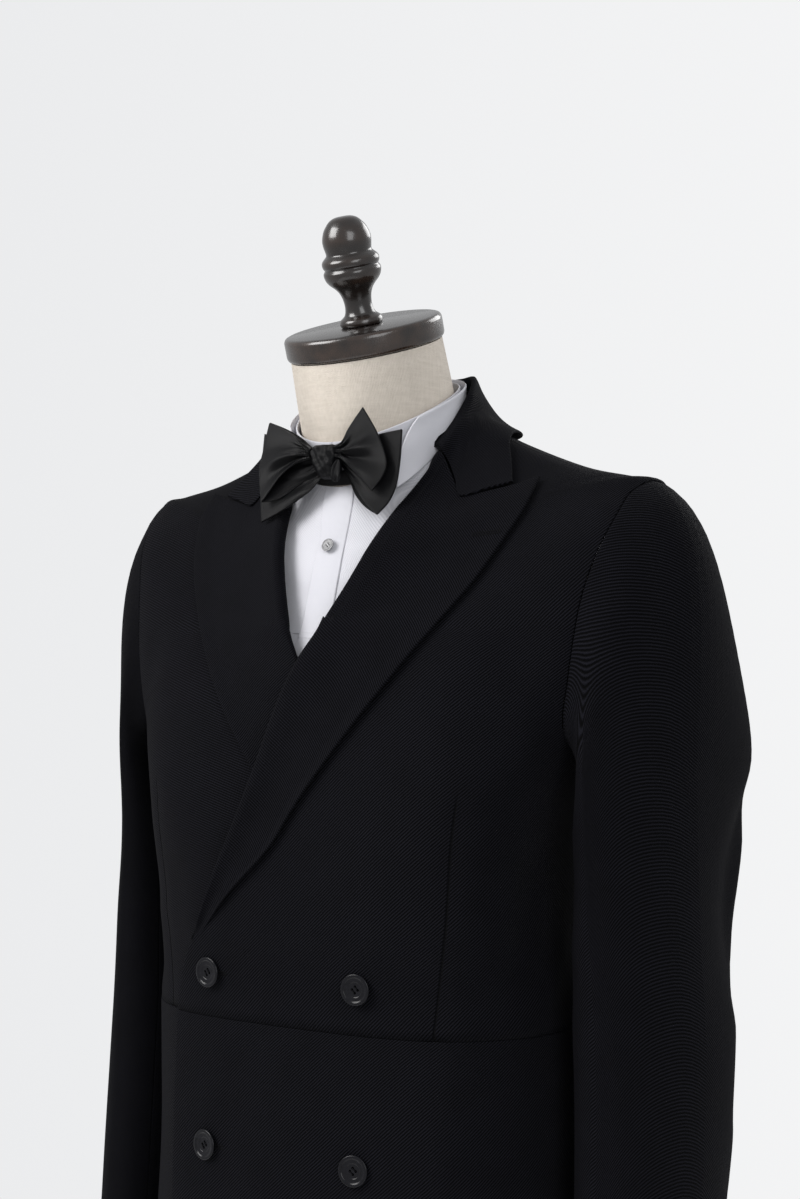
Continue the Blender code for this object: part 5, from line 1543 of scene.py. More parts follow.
def shirt():
    v, seam = shirtRows(hind=False)
    seam = seam - stepOf(seam, v, 0.5 * seamGap)
    middle = stepOf(np.zeros(len(v)), v, 0.5 * seamGap)
    rows = withEdges(0.75, shirtNets["rows"])
    columns = withEdges(0.25, shirtNets["columns"])
    for side, word in ((1, "left"), (-1, "right")):
        q = spread(middle, seam, np.linspace(0.0, 1.0, 11)) * side
        shirtPanel(f"shirt_{word}_front", q, v[:, None], rows, columns, shirtTwill)
    v, seam = shirtRows(hind=True)
    seam = seam + stepOf(seam, v, 0.5 * seamGap)
    back = np.full(len(v), centreBack)
    half = np.linspace(0.0, 1.0, 8)
    q = np.concatenate([spread(seam, back, half), spread(back, 2 * centreBack - seam, half)[:, 1:]], axis=1)
    shirtPanel("shirt_back", q, v[:, None], withEdges(0.75, 60), withEdges(0.5, 60), shirtTwill)
    v, _ = shirtRows(hind=False)
    reach = np.linspace(-1.0, 1.0, 5) * placketHalf
    q = stepOf(np.zeros_like(v), v, 1.0)[:, None] * reach[None]
    shirtPanel(
        "shirt_placket", q, v[:, None], withEdges(0.75, 150),
        withEdges(2 * placketHalf, 22), shirtPlain, lift=0.0007, wall=0.0008,
    )


def ringShell(name, node, angle, radius, heights, thickness, material, slot, restsOn):
    angles, height = np.meshgrid(angle, heights)
    outer = leaningRing(angles, radius, height)
    inner = leaningRing(angles, radius - thickness, height)
    outer = drawnIn(outer, inner, roundedEdge(outer, ("foot", "top"), *bandEdge))
    closed = abs(angle[-1] - angle[0] - 2 * math.pi) < 1e-9
    clothPiece(name, node, outer, inner, grainOf(outer), material, slot, restsOn, joined=closed)


leafLook = {"columns": 150, "rows": 30, "wave": 0.0009, "bow": 0.10}


def shirtCollar():
    gap = 0.5 * seamGap / bandRadius
    angle = np.linspace(gap, 2 * math.pi - gap, 121)
    heights = -bandHeight + seamGap + (bandHeight - seamGap - 0.0010) * withEdges(0.032, 14)
    ringShell(
        "shirt_band_cloth", "shirt_band", angle, bandRadius, heights, shirtWall, shirtPlain, "cotton",
        ["form_body"],
    )
    share = withEdges(0.30, leafLook["columns"])
    top = leafFrom + (2 * math.pi - 2 * leafFrom) * share
    foot = leafPointFrom + (2 * math.pi - 2 * leafPointFrom) * share
    outer, inner = [], []
    for down in withEdges(0.035, leafLook["rows"], first=False):
        angle = top + (foot - top) * down
        # the leaf's front edge bows forward half way down
        bow = leafLook["bow"] * math.sin(math.pi * down ** 0.8)
        angle = angle - bow * (1 - share) ** 24 + bow * share ** 24
        offFront = np.degrees(np.minimum(angle, 2 * math.pi - angle))
        wide = curveThrough(leafEdge[:, 0], leafEdge[:, 1], offFront)
        drop = curveThrough(leafEdge[:, 0], leafEdge[:, 2], offFront)
        radius = leafRadius + (wide - leafRadius) * down ** 1.4
        radius = radius + (leafFoldRadius - leafRadius) * (1 - min(1.0, down / 0.3)) ** 2
        turned = shirtWall * 0.9 * (1 - math.sqrt(1 - max(0.0, 1 - down / 0.035) ** 2))
        wave = leafLook["wave"] * np.sin(5.0 * angle + 0.7) * down * smoothStep((offFront - 55) / 20)
        front = smoothStep((75 - offFront) / 30)
        wave = wave + 0.0012 * front * np.sin(math.pi * min(1.0, down * 1.1)) ** 2
        outer.append(leaningRing(angle, radius + wave - turned, -drop * down))
        inner.append(leaningRing(angle, radius + wave - shirtWall, -drop * down))
    outer, inner = np.array(outer), np.array(inner)
    outer = drawnIn(outer, inner, roundedEdge(outer, ("first", "last", "top"), *shirtEdge))
    clothPiece(
        "shirt_collar_cloth", "shirt_collar_leaf", outer, inner, grainOf(outer), shirtPlain, "cotton",
        ["shirt_band_cloth"],
    )


shirt()
shirtCollar()
print("shirt ready")


# Bow tie. Each outline runs from the knot outwards or from the top down: distance out, height.
bowLook = {"columns": 46, "rows": 56, "pleat": 1.55, "gathers": 6.5, "gatherDepth": 0.0011}
bowPieces = {
    "right_front": {
        "top": ((-0.0110, 1.4530), (-0.0288, 1.4651), (-0.0400, 1.4706), (-0.0514, 1.4752)),
        "far": (
            (-0.0514, 1.4752), (-0.0548, 1.4644), (-0.0575, 1.4537), (-0.0602, 1.4419),
            (-0.0604, 1.4286), (-0.0580, 1.4172),
        ),
        "foot": (
            (-0.0110, 1.4470), (-0.0236, 1.4433), (-0.0377, 1.4346), (-0.0510, 1.4234),
            (-0.0580, 1.4172),
        ),
        "lip": (
            (-0.0080, 1.4400), (-0.0150, 1.4352), (-0.0300, 1.4268), (-0.0465, 1.4188),
            (-0.0580, 1.4168),
        ),
        "depth": -0.0868, "behind": 0.0052,
        # pleats: place from top to foot at the knot and at the far edge, width, height
        "pleats": (
            (0.62, 0.55, 0.11, 0.0016), (0.80, 0.76, 0.10, -0.0016), (0.25, 0.30, 0.16, -0.0010),
            (0.95, 0.97, 0.07, 0.0012), (0.42, 0.44, 0.09, 0.0006),
        ),
        "belly": 0.0026,
    },
    "right_back": {
        "top": ((-0.0110, 1.4520), (-0.0446, 1.4640), (-0.0625, 1.4684)),
        "far": (
            (-0.0625, 1.4684), (-0.0640, 1.4551), (-0.0655, 1.4394), (-0.0656, 1.4199),
            (-0.0652, 1.4114), (-0.0644, 1.4028),
        ),
        "foot": (
            (-0.0040, 1.4345), (-0.0110, 1.4270), (-0.0277, 1.4175), (-0.0435, 1.4102),
            (-0.0644, 1.4028),
        ),
        "depth": -0.0800,
        "pleats": ((0.55, 0.50, 0.16, 0.0010), (0.78, 0.72, 0.10, -0.0010), (0.92, 0.90, 0.08, 0.0008)),
        "belly": 0.0010,
    },
    "left_front": {
        "top": ((0.0100, 1.4535), (0.0135, 1.4550), (0.0206, 1.4656), (0.0264, 1.4738), (0.0319, 1.4812)),
        "far": (
            (0.0319, 1.4812), (0.0389, 1.4706), (0.0455, 1.4598), (0.0502, 1.4480), (0.0517, 1.4388),
            (0.0492, 1.4319), (0.0402, 1.4211),
        ),
        "foot": ((0.0100, 1.4480), (0.0122, 1.4470), (0.0210, 1.4396), (0.0316, 1.4300), (0.0402, 1.4211)),
        "depth": -0.0868,
        "pleats": (
            (0.55, 0.42, 0.10, 0.0018), (0.30, 0.20, 0.12, -0.0014), (0.75, 0.62, 0.10, -0.0015),
            (0.92, 0.88, 0.08, 0.0010),
        ),
        "belly": 0.0032,
    },
    "left_back": {
        "top": ((0.0100, 1.4530), (0.0413, 1.4622), (0.0585, 1.4648)),
        "far": (
            (0.0585, 1.4648), (0.0578, 1.4540), (0.0570, 1.4427), (0.0540, 1.4243), (0.0486, 1.4140),
            (0.0395, 1.4048),
        ),
        "foot": ((0.0095, 1.4446), (0.0185, 1.4310), (0.0262, 1.4190), (0.0338, 1.4102), (0.0395, 1.4048)),
        "lip": ((0.0083, 1.4440), (0.0152, 1.4291), (0.0195, 1.4205), (0.0289, 1.4105), (0.0395, 1.4046)),
        "depth": -0.0800, "behind": 0.0040,
        "pleats": ((0.40, 0.30, 0.12, 0.0014), (0.60, 0.55, 0.10, -0.0012), (0.80, 0.80, 0.10, 0.0010)),
        "belly": 0.0010,
    },
}


def outline(points, shares):
    points = np.array(points)
    reach = reachOf(points)
    return curveThrough(reach / reach[-1], points, shares)


def wingNet(look, foot, behind, rows, columns):
    # a smooth sheet between its top, foot and far outlines; rows run down and columns outwards
    s = rows[:, None, None]
    t = columns[None, :, None]
    top = outline(look["top"], columns)[None]
    low = outline(look[foot], columns)[None]
    far = outline(look["far"], rows)[:, None]
    ends = (1 - s) * far[:1] + s * far[-1:]
    flat = (1 - s) * top + s * low + t * (far - ends)
    s, t = rows[:, None], columns[None]
    out = np.abs(flat[..., 0])
    depth = look["depth"] + wingSweep * np.maximum(out - leftWingRoot, 0.0)
    outwards = np.sin(math.pi * np.minimum(1.0, t * 0.9 + 0.08))
    swell = look["belly"] * outwards * np.sin(math.pi * (0.12 + 0.76 * s))
    fade = smoothStep(t / 0.12) * (1 - 0.85 * smoothStep((t - 0.50) / 0.5))
    for near, end, width, height in look["pleats"]:
        line = near + (end - near) * t
        wide = width * (0.45 + 0.9 * t)
        swell = swell + bowLook["pleat"] * height * np.exp(-((s - line) / wide) ** 2) * fade
    gather = np.sin(2 * math.pi * bowLook["gathers"] * s + 0.8 * np.sin(5 * s))
    swell = swell + bowLook["gatherDepth"] * gather * (1 - smoothStep(t / 0.45))
    if behind:
        swell = -0.55 * swell - behind * np.sin(math.pi * 0.75 * (1 - t)) ** 0.6
    return np.stack([flat[..., 0], depth - swell, flat[..., 1]], axis=2)


def wing(word):
    look = bowPieces[word]
    side = 1 if word.startswith("left") else -1
    rows = withEdges(0.05, bowLook["rows"])
    columns = withEdges(0.05, bowLook["columns"], first=False)
    front = wingNet(look, "foot", 0.0, rows, columns)
    if "lip" in look:
        hind = wingNet(look, "lip", look["behind"], rows, columns)[:, ::-1]
        hind[..., 1] += 0.0016
        turn = []
        for angle in np.linspace(0.0, math.pi, 7)[1:-1]:
            half = 0.5 * (front[:, -1] + hind[:, 0])
            reach = 0.5 * (front[:, -1] - hind[:, 0])
            bulge = np.linalg.norm(reach, axis=1, keepdims=True) * np.array([side * 1.0, 0.0, 0.0])
            turn.append(half + reach * math.cos(angle) + bulge * math.sin(angle))
        net = np.concatenate([front, np.stack(turn, axis=1), hind], axis=1)
    else:
        net = front
    inner = net - frontNormals(net, len(rows) // 2, 5) * bowWall
    edges = ("foot", "top", "last") if "lip" not in look else ("foot", "top")
    outer = drawnIn(net, inner, roundedEdge(net, edges, *bowEdge))
    clothPiece(
        f"bow_{word}_cloth", f"bow_{word}_wing", outer, inner, grainOf(net)[..., ::-1], ribbedSatin,
        "satin", ["bow_knot_cloth"], base=net,
    )


knotLook = {"columns": 72, "rows": 44}


def knot():
    rings = np.array(knotRings)
    rows = np.linspace(0, len(rings) - 1, knotLook["rows"])
    rings = curveThrough(np.arange(len(rings)), rings, rows)
    angle = np.linspace(0.0, 2 * math.pi, knotLook["columns"] + 1)
    c = np.sign(np.cos(angle)) * np.abs(np.cos(angle)) ** 0.8
    d = np.sign(np.sin(angle)) * np.abs(np.sin(angle)) ** 0.8
    net = []
    for k, (z, right, left, front, back) in enumerate(rings):
        share = k / (len(rings) - 1)
        x = 0.5 * (right + left) + 0.5 * (left - right) * c
        y = 0.5 * (front + back) - 0.5 * (back - front) * d
        # the crossing band's folded edge runs down from the upper left, with creases beside it
        line = 0.0118 - 0.0062 * (1 - share)
        facing = smoothStep(d / 0.4)
        step = smoothStep((x - line) / 0.0012)
        lift = 0.0013 * facing * (1 - step) - 0.0009 * facing * np.exp(-((x - line - 0.0008) / 0.0009) ** 2)
        lift = lift + 0.00045 * facing * np.sin(900 * x + 520 * (z - 1.44))
        lift = lift + 0.0005 * facing * np.sin(410 * x - 700 * (z - 1.44) + 1.0)
        net.append(np.stack([x, y - lift, np.full_like(x, z)], axis=1))
    net = closedEnds(np.array(net), (0.0, 0.5))
    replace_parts(solidOf("bow_knot_cloth", net, ribbedSatin, turn=True), "bow_knot")


def closedEnds(net, shares):
    # rings that shrink to the middle of the first row and of the last
    low, high = net[:1].mean(axis=1, keepdims=True), net[-1:].mean(axis=1, keepdims=True)
    foot = [low + (net[:1] - low) * share for share in shares]
    top = [high + (net[-1:] - high) * share for share in shares[::-1]]
    return np.concatenate([*foot, net, *top])


def solidOf(name, net, material, turn=False, marks=None):
    # a closed solid round a net whose first and last rows are single points and whose
    # first and last columns coincide
    rows, columns = net.shape[:2]
    index = np.arange(rows * columns).reshape(rows, columns)
    quads = np.stack([index[:-1, :-1], index[:-1, 1:], index[1:, 1:], index[1:, :-1]], axis=-1).reshape(-1, 4)
    grain = grainOf(net)
    if turn:
        grain = grain[..., ::-1]
    mesh = meshOf(name, net.reshape(-1, 3), quads, grain.reshape(-1, 2), marks or {})
    weld(mesh, outward=True)
    mesh.shade_smooth()
    mesh.set_sharp_from_angle(angle=math.radians(50))
    return addPiece(name, mesh, material)


def tube(points, radii, flat, across, level=(0.0, 1.0, 0.0)):
    # the net of a rounded tube along a path that never runs along level, closed to a point at both ends
    points = np.array(points)
    radii = np.array(radii)
    ahead = unit(np.gradient(points, axis=0))
    side = unit(np.cross(ahead, np.array(level)))
    other = np.cross(ahead, side)
    angle = np.linspace(0.0, 2 * math.pi, across + 1)
    ring = side[:, None] * np.cos(angle)[None, :, None] + flat * other[:, None] * np.sin(angle)[None, :, None]
    return points[:, None] + ring * radii[:, None, None]


def underLoop():
    # the small loop of cloth that hangs below the knot
    keys = np.linspace(0.0, 1.0, 5)
    path = np.array([
        (0.0118, -0.0846, 1.4450), (0.0112, -0.0856, 1.4412), (0.0106, -0.0862, 1.4374),
        (0.0102, -0.0860, 1.4330), (0.0104, -0.0850, 1.4286),
    ])
    at = np.linspace(0.0, 1.0, 34)
    points = curveThrough(keys, path, at)
    radii = 0.0056 * np.sin(math.pi * np.clip(at, 0.0, 1.0)) ** 0.5 * (0.72 + 0.28 * at)
    radii[0] = radii[-1] = 0.0
    net = tube(points, radii, 0.5, 48)
    turn = np.linspace(0.0, 2 * math.pi, net.shape[1])
    crease = 0.0008 * np.exp(-((turn - 0.5 * math.pi) / 0.28) ** 2) + 0.0004 * np.cos(5 * turn)
    middle = points[:, None]
    size = np.linalg.norm(net - middle, axis=2, keepdims=True) + 1e-9
    return net - (net - middle) / size * crease[None, :, None] * np.minimum(1.0, size / 0.002)


def bowTie():
    knot()
    solidOf("bow_under_loop", underLoop(), ribbedSatin, turn=True)
    for word in bowPieces:
        wing(word)
    angle = np.linspace(0.0, 2 * math.pi, 129)
    heights = tieBandFoot - 0.0022 + 0.63 * (tieBandTop - tieBandFoot) * withEdges(0.011, 9)
    ringShell(
        "bow_band_cloth", "bow_neck_band", angle, tieBandRadius, heights, shirtWall, ribbedSatin, "satin",
        ["shirt_band_cloth"],
    )


bowTie()
print("bow tie ready")


# Turned pieces: profiles of (height, radius), read finely round an axis
def latheNet(profile, steps):
    profile = np.array(profile)
    angle = np.linspace(0.0, 2 * math.pi, steps + 1)
    net = np.stack([
        profile[:, 1][:, None] * np.cos(angle)[None],
        profile[:, 1][:, None] * np.sin(angle)[None],
        np.repeat(profile[:, 0][:, None], steps + 1, axis=1),
    ], axis=2)
    ends = [np.repeat(np.array([[0.0, 0.0, profile[k, 0]]]), steps + 1, axis=0)[None] for k in (0, -1)]
    return np.concatenate([ends[0], net, ends[1]])


def softened(profile, radius, count=4):
    # the profile with each corner cut by a small round
    points = [np.array(p) for p in profile]
    out = [points[0]]
    for before, here, after in zip(points, points[1:], points[2:]):
        a = before - here
        b = after - here
        reach = min(radius, 0.45 * np.hypot(*a), 0.45 * np.hypot(*b))
        start = here + a / np.hypot(*a) * reach
        end = here + b / np.hypot(*b) * reach
        for t in np.linspace(0.0, 1.0, count):
            out.append((1 - t) ** 2 * start + 2 * t * (1 - t) * here + t ** 2 * end)
    out.append(points[-1])
    return np.array(out)


def wornOf(profile):
    # proud and sharp places of a turned profile wear first
    radius = profile[:, 1]
    wide = np.convolve(np.pad(radius, 6, mode="edge"), np.ones(13) / 13, mode="valid")
    return smoothStep((radius - wide) / 0.0012 + 0.1)


def placed(net, lean, place):
    turn = np.array([[1, 0, 0], [0, math.cos(lean), -math.sin(lean)], [0, math.sin(lean), math.cos(lean)]])
    return net @ turn.T + np.array(place)


def turnedPiece(name, node, profile, steps, material, lean=0.0, place=(0, 0, 0)):
    net = placed(latheNet(profile, steps), lean, place)
    worn = np.concatenate([[0.0], wornOf(profile), [0.0]])
    values = np.repeat(worn[:, None], steps + 1, axis=1)
    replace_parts(solidOf(name, net, material, marks={"worn": values}), node)


finialCurve = (
    (0.0003, 0.0140), (0.0004, 0.0152), (0.0018, 0.0160), (0.0034, 0.0161), (0.0052, 0.0154),
    (0.0064, 0.0140), (0.0082, 0.0118), (0.0110, 0.0106), (0.0150, 0.0101), (0.0190, 0.0104),
    (0.0225, 0.0112), (0.0260, 0.0127), (0.0292, 0.0152), (0.0320, 0.0181), (0.0348, 0.0201),
    (0.0375, 0.0211), (0.0396, 0.0214), (0.0410, 0.0212), (0.0420, 0.0206), (0.0430, 0.0200),
    (0.0438, 0.0203), (0.0448, 0.0209), (0.0465, 0.0213), (0.0485, 0.0212), (0.0500, 0.0204),
    (0.0515, 0.0190), (0.0528, 0.0176), (0.0538, 0.0170), (0.0552, 0.0170), (0.0575, 0.0174),
    (0.0605, 0.0179), (0.0640, 0.0180), (0.0680, 0.0171), (0.0720, 0.0153), (0.0752, 0.0129),
    (0.0775, 0.0106), (0.0790, 0.0080), (0.0798, 0.0050), (0.0800, 0.0020),
)


def stand():
    cap = softened(capProfile, 0.0011)
    turnedPiece("neck_cap_wood", "neck_cap", cap, 128, stainedWood, neckLean, capTop)
    keys = np.arange(len(finialCurve), dtype=float)
    curve = curveThrough(keys, np.array(finialCurve), np.linspace(0, keys[-1], 4 * len(keys)))
    turnedPiece("finial_wood", "finial", curve, 96, stainedWood, neckLean, capTop)
    base = softened(
        ((0.0, 0.184), (0.0, 0.1880), *baseProfile[1:-1], (0.0215, 0.0310), (0.0230, 0.0290)), 0.0035, 6,
    )
    turnedPiece("base_steel", "base", base, 160, paintedSteel)
    top = baseProfile[-1][0] + seamGap
    pole = softened((
        (top, 0.0180), (top + 0.0010, 0.0200), (top + 0.014, 0.0200),
        (top + 0.016, 0.0188), (top + 0.016, 0.0142), (top + 0.020, poleRadius),
        (0.42, poleRadius), (0.4202, 0.0172), (0.4220, 0.0180),
        (0.4580, 0.0180), (0.4598, 0.0172), (0.4600, 0.0125), (formFootHeight - 0.0008, 0.0125),
    ), 0.0008)
    turnedPiece("pole_steel", "pole", pole, 64, paintedSteel)


formLook = {"columns": 128, "rows": 150, "seam": 0.0006}


def dressForm():
    q = np.linspace(-2.0, 2.0, 33)
    more = shirtWall + formGap
    rings = []
    rows, _ = shirtRows(hind=False)
    rows[0] = (formFootHeight - bodyRings[0, 0]) / (bodyRings[1, 0] - bodyRings[0, 0])
    for v in (*rows[:-1], formLastRow):
        low = formSlack * (1 - smoothStep((v - 9.0) / 2.5))
        ring = shirtPoint(q, np.full_like(q, v), more + low)
        wide = np.abs(ring[:, 0])
        past = formRound * np.tanh(np.maximum(wide - formHalf, 0.0) / formRound)
        ring[:, 0] = np.sign(ring[:, 0]) * (np.minimum(wide, formHalf) + past)
        rings.append(ring)
    turn = q * math.pi / 2
    neck = bandRadius - shirtWall - formNeckGap
    rings.append(leaningRing(turn, neck, np.full_like(q, -bandHeight - formGap)))
    axis, forward, aside = leaningAxes(neckLean)
    for height, radius in neckRings:
        across = aside * np.sin(turn)[:, None] + forward * np.cos(turn)[:, None]
        rings.append(capTop + axis * height + across * radius)
    net = np.array(rings)
    keys = np.arange(len(net), dtype=float)
    # the columns wrap, so the curve is read from a net that runs past both ends
    wrapped = np.concatenate([net[:, -3:-1], net, net[:, 1:3]], axis=1)
    columnKeys = np.arange(wrapped.shape[1], dtype=float) - 2
    fine = refined(
        wrapped, keys, columnKeys, np.linspace(0, keys[-1], formLook["rows"]),
        np.linspace(0, net.shape[1] - 1, formLook["columns"] + 1),
    )
    fine[:, -1] = fine[:, 0]
    # a stitched seam runs down the left side of the neck and of the body
    turns = np.linspace(-2.0, 2.0, formLook["columns"] + 1)
    off = (turns - 0.86) * 0.1
    normal = gridNormals(fine, closed=False)
    middle = fine.mean(axis=1, keepdims=True)
    normal = normal * np.sign(((fine - middle) * normal).sum(axis=2, keepdims=True))
    fine = fine - normal * (formLook["seam"] * np.exp(-(off / 0.0016) ** 2))[None, :, None]
    fine[:, -1] = fine[:, 0]
    net = closedEnds(fine, (0.0, 0.5, 0.97))
    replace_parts(solidOf("form_body", net, linenWeave), "form")


stand()
dressForm()
print("form and stand ready")


# Buttons, with a raised rim, four holes and thread
buttonLook = {"holeAcross": 0.0019, "holeOff": 0.0015, "thread": 0.00034, "smallHoles": 1.35}


def buttonNet(across, thick, rim, steps=72):
    half = 0.5 * across
    profile = softened((
        (0.0, 0.02 * half), (0.0, 0.60 * half), (0.35 * thick, 0.93 * half), (0.70 * thick, half),
        (0.94 * thick, 0.97 * half), (thick, 0.90 * half), (thick, 0.80 * half),
        (thick - 0.45 * rim, 0.74 * half), (thick - 0.62 * rim, 0.66 * half),
        (thick - 0.70 * rim, 0.50 * half), (thick - rim, 0.44 * half), (thick - rim, 0.02 * half),
    ), 0.018 * across)
    return latheNet(profile, steps)


def frameAt(place, normal):
    normal = np.array(normal) / np.linalg.norm(normal)
    level = np.cross(np.array([0.0, 0.0, 1.0]), normal)
    level = level / np.linalg.norm(level)
    return np.stack([level, np.cross(normal, level), normal], axis=1), np.array(place)


def buttonPiece(name, node, across, thick, rim, place, normal, material, thread, tilt=0.0):
    scale = across / buttonAcross
    turn, at = frameAt(place, normal)
    tilted = np.array([[math.cos(tilt), -math.sin(tilt), 0], [math.sin(tilt), math.cos(tilt), 0], [0, 0, 1]])
    turn = turn @ tilted
    net = buttonNet(across, thick, rim)
    piece = solidOf(name, net, material)
    scale = scale if scale > 0.9 else scale * buttonLook["smallHoles"]
    off = buttonLook["holeOff"] * scale
    cutters = []
    for x, y in ((off, off), (off, -off), (-off, off), (-off, -off)):
        work = bmesh.new()
        bmesh.ops.create_cone(
            work, cap_ends=True, segments=20, depth=4 * thick,
            radius1=0.5 * buttonLook["holeAcross"] * scale, radius2=0.5 * buttonLook["holeAcross"] * scale,
            matrix=Matrix.Translation((x, y, 0.5 * thick)),
        )
        mesh = bpy.data.meshes.new("cutter")
        work.to_mesh(mesh)
        work.free()
        cutter = bpy.data.objects.new("cutter", mesh)
        scene.collection.objects.link(cutter)
        cutters.append(cutter)
        cut = piece.modifiers.new("hole", "BOOLEAN")
        cut.operation = "DIFFERENCE"
        cut.object = cutter
        cut.solver = "EXACT"
    bpy.context.view_layer.update()
    made = bpy.data.meshes.new_from_object(piece.evaluated_get(bpy.context.evaluated_depsgraph_get()))
    piece.modifiers.clear()
    piece.data = made
    for cutter in cutters:
        bpy.data.objects.remove(cutter)
    whole = Matrix(np.block([[turn, at[:, None]], [np.zeros((1, 3)), np.ones((1, 1))]]).tolist())
    made.transform(whole)
    made.shade_smooth()
    made.set_sharp_from_angle(angle=math.radians(35))
    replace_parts(piece, node)
    reach = np.linspace(-1.0, 1.0, 15)
    bowed = thick - rim + 0.0006 * scale * np.sqrt(1 - 0.94 * reach ** 2)
    for x in (-off, off):
        points = np.stack([np.full(15, x), reach * off * 1.05, bowed], axis=1)
        points[0, 2] = points[-1, 2] = thick - rim - 0.0010 * scale
        radii = np.full(15, buttonLook["thread"] * max(0.6, scale))
        radii[0] = radii[-1] = 0.0
        strands = tube(points, radii, 1.0, 10, level=(1.0, 0.0, 0.0)) @ turn.T + at
        word = "a" if x < 0 else "b"
        solidOf(f"{name}_thread_{word}", strands, thread)


def buttons():
    for row, height in enumerate(buttonHeights):
        for side, word in ((1, "left"), (-1, "right")):
            q, v = onFront(np.array([side * buttonColumn]), np.array([height]))
            normal = bodyNormal(q, v)[0]
            rise = overlap(1, q, v) + drape(q, v)
            place = raised(q, v, rise)[0] + normal * buttonLifts[row]
            level = "upper" if row == 0 else "lower"
            tilt = (0.75, 0.62, 0.84, 0.70)[2 * row + (side < 0)]
            buttonPiece(
                f"button_{level}_{word}_horn", f"button_{level}_{word}", buttonAcross, buttonThick, 0.0011,
                place, normal, blackHorn, blackThread, tilt,
            )
    _, v = findOnBody([0, 2], np.array([[0.0, shirtButtonHeight]]), (-0.1, 0.1), (7.0, 13.0))
    place = shirtPoint(np.zeros(1), v, -layerGap - shirtWall)[0]
    below = shirtPoint(np.zeros(1), v - 0.3, 0.0)[0]
    above = shirtPoint(np.zeros(1), v + 0.3, 0.0)[0]
    normal = unit(np.cross(np.array([1.0, 0.0, 0.0]), above - below))
    buttonPiece(
        "shirt_button_pearl", "shirt_button", shirtButtonAcross, shirtButtonThick, 0.0005,
        place + normal * shirtButtonLift, normal, greyPearl, greyThread, 0.8,
    )


buttons()
print("buttons ready")


# Hand stitches: one node tree sets a small stitch at each point of a run, turned along it
stitchLook = {
    "edgeLength": 0.0016, "edgeWidth": 0.00042, "edgePitch": 0.0062,
    "holeLength": 0.0017, "holeWidth": 0.00040, "holePitch": 0.00052,
}


def stitchTree():
    tree = bpy.data.node_groups.new("stitches", "GeometryNodeTree")
    face = tree.interface
    kinds = {"Geometry": "Geometry", "Length": "Float", "Width": "Float", "Thread": "Material"}
    for name, kind in kinds.items():
        face.new_socket(name, in_out="INPUT", socket_type=f"NodeSocket{kind}")
    face.new_socket("Geometry", in_out="OUTPUT", socket_type="NodeSocketGeometry")
    given = addNode(tree, "NodeGroupInput").outputs
    size = addNode(tree, "ShaderNodeCombineXYZ", {0: given["Length"], 1: given["Width"], 2: given["Width"]})
    ball = addNode(tree, "GeometryNodeMeshUVSphere", {"Segments": 8, "Rings": 6, "Radius": 0.5})
    shaped = addNode(
        tree, "GeometryNodeTransform", {"Geometry": ball.outputs["Mesh"], "Scale": size.outputs[0]},
    )
    ways = [
        addNode(tree, "GeometryNodeInputNamedAttribute", {"Name": word}, data_type="FLOAT_VECTOR")
        for word in ("run", "off")
    ]
    turned = addNode(
        tree, "FunctionNodeAxesToRotation",
        {k: way.outputs["Attribute"] for k, way in enumerate(ways)}, primary_axis="X", secondary_axis="Z",
    )
    place = addNode(tree, "GeometryNodeInstanceOnPoints", {
        "Points": given["Geometry"], "Instance": shaped.outputs["Geometry"], "Rotation": turned.outputs[0],
    })
    real = addNode(tree, "GeometryNodeRealizeInstances", {0: place.outputs[0]})
    paint = addNode(
        tree, "GeometryNodeSetMaterial", {"Geometry": real.outputs[0], "Material": given["Thread"]},
    )
    addNode(tree, "NodeGroupOutput", {0: paint.outputs[0]})
    return tree


stitches = stitchTree()


def sewn(name, points, runs, offs, length, width, thread):
    mesh = bpy.data.meshes.new(name)
    mesh.from_pydata(points.tolist(), [], [])
    for word, values in (("run", runs), ("off", offs)):
        data = mesh.attributes.new(word, "FLOAT_VECTOR", "POINT")
        data.data.foreach_set("vector", values.astype(np.float32).ravel())
    holder = bpy.data.objects.new(name, mesh)
    scene.collection.objects.link(holder)
    modifier = holder.modifiers.new("stitches", "NODES")
    modifier.node_group = stitches
    given = {"Length": length, "Width": width, "Thread": thread}
    for item in stitches.interface.items_tree:
        if item.in_out == "INPUT" and item.name in given:
            modifier[item.identifier] = given[item.name]
    bpy.context.view_layer.update()
    made = bpy.data.meshes.new_from_object(holder.evaluated_get(bpy.context.evaluated_depsgraph_get()))
    made.name = name
    bpy.data.objects.remove(holder)
    made.materials.clear()
    made.shade_smooth()
    return addPiece(name, made, thread)


def alongLine(points, normals, pitch):
    # even points of a line, with its direction and the cloth's normal at each
    reach = reachOf(points)
    at = np.arange(0.5 * pitch, reach[-1], pitch)
    place = np.stack([np.interp(at, reach, points[:, k]) for k in range(3)], axis=1)
    off = unit(np.stack([np.interp(at, reach, normals[:, k]) for k in range(3)], axis=1))
    return place, unit(np.gradient(place, axis=0)), off


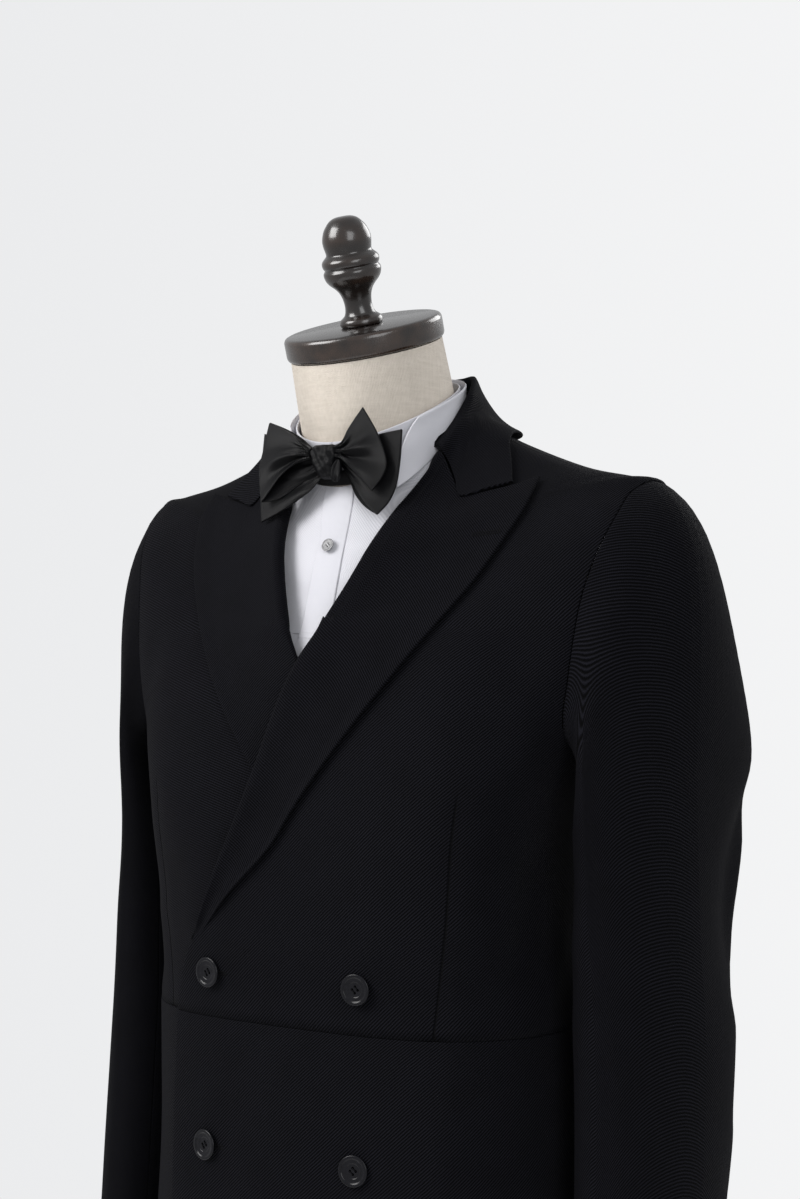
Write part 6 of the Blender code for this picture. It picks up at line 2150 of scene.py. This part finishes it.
def edgeStitches(word, net, inset, first, last):
    # pick stitches a little inside the lapel's outer edge
    normal = frontNormals(net, len(net) // 2, -4)
    across = np.linalg.norm(np.diff(net[:, ::-1], axis=1), axis=2).cumsum(axis=1)
    column = net.shape[1] - 2 - np.argmax(across > inset, axis=1)
    rows = np.arange(first, last)
    points = net[rows, column[rows]]
    place, run, off = alongLine(points, normal[rows, column[rows]], stitchLook["edgePitch"])
    sewn(
        f"{word}_edge_stitches", place - off * 0.00012, run, off,
        stitchLook["edgeLength"], stitchLook["edgeWidth"], blackThread,
    )


def buttonhole(name, net, middle, reach, slope):
    # worked round a slit: short stitches side by side across both of its lips
    flat = net[..., [0, 2]]
    normal = frontNormals(net, len(net) // 2, net.shape[1] // 2)
    run = np.array([math.cos(slope), math.sin(slope)])
    side = np.array([-run[1], run[0]])
    ring = []
    for t in np.arange(-1.0, 1.0001, stitchLook["holePitch"] / reach):
        for lip in (-1, 1):
            ring.append((middle + run * t * reach + side * lip * 0.0009, side * lip))
    for angle in np.linspace(-0.5 * math.pi, 0.5 * math.pi, 7):
        for end in (-1, 1):
            out = run * end * math.cos(angle) + side * math.sin(angle)
            ring.append((middle + run * end * reach + out * 0.0010, out))
    points, runs, offs = [], [], []
    for spot, out in ring:
        gap = ((flat - spot) ** 2).sum(axis=2)
        i, j = np.unravel_index(gap.argmin(), gap.shape)
        off = normal[i, j]
        home = net[i, j]
        step = np.array([spot[0] - home[0], 0.0, spot[1] - home[2]])
        step[1] = -(step @ off) / off[1]
        points.append(home + step + off * 0.00005)
        way = np.array([out[0], 0.0, out[1]])
        runs.append(unit(way - off * (way @ off)))
        offs.append(off)
    sewn(
        name, np.array(points), np.array(runs), np.array(offs),
        stitchLook["holeLength"], stitchLook["holeWidth"], blackThread,
    )


for word, net in lapelNets.items():
    edgeStitches(word, net, 0.0028, 6, len(net) - 2)
buttonhole("lapel_buttonhole", lapelNets["left_lapel"], np.array([0.1210, 1.3905]), 0.0098, math.radians(5))
for level, height in zip(("upper", "lower"), buttonHeights):
    x, z = np.meshgrid(np.linspace(-0.018, 0.018, 30) - buttonColumn, np.linspace(0.004, -0.004, 3) + height)
    q, v = onFront(x, z)
    net = raised(q, v, overlap(1, q, v) + drape(q, v))
    middle = np.array([0.0035 - buttonColumn, height])
    buttonhole(f"{level}_left_buttonhole", net, middle, 0.0105, 0.0)
print("stitches ready")
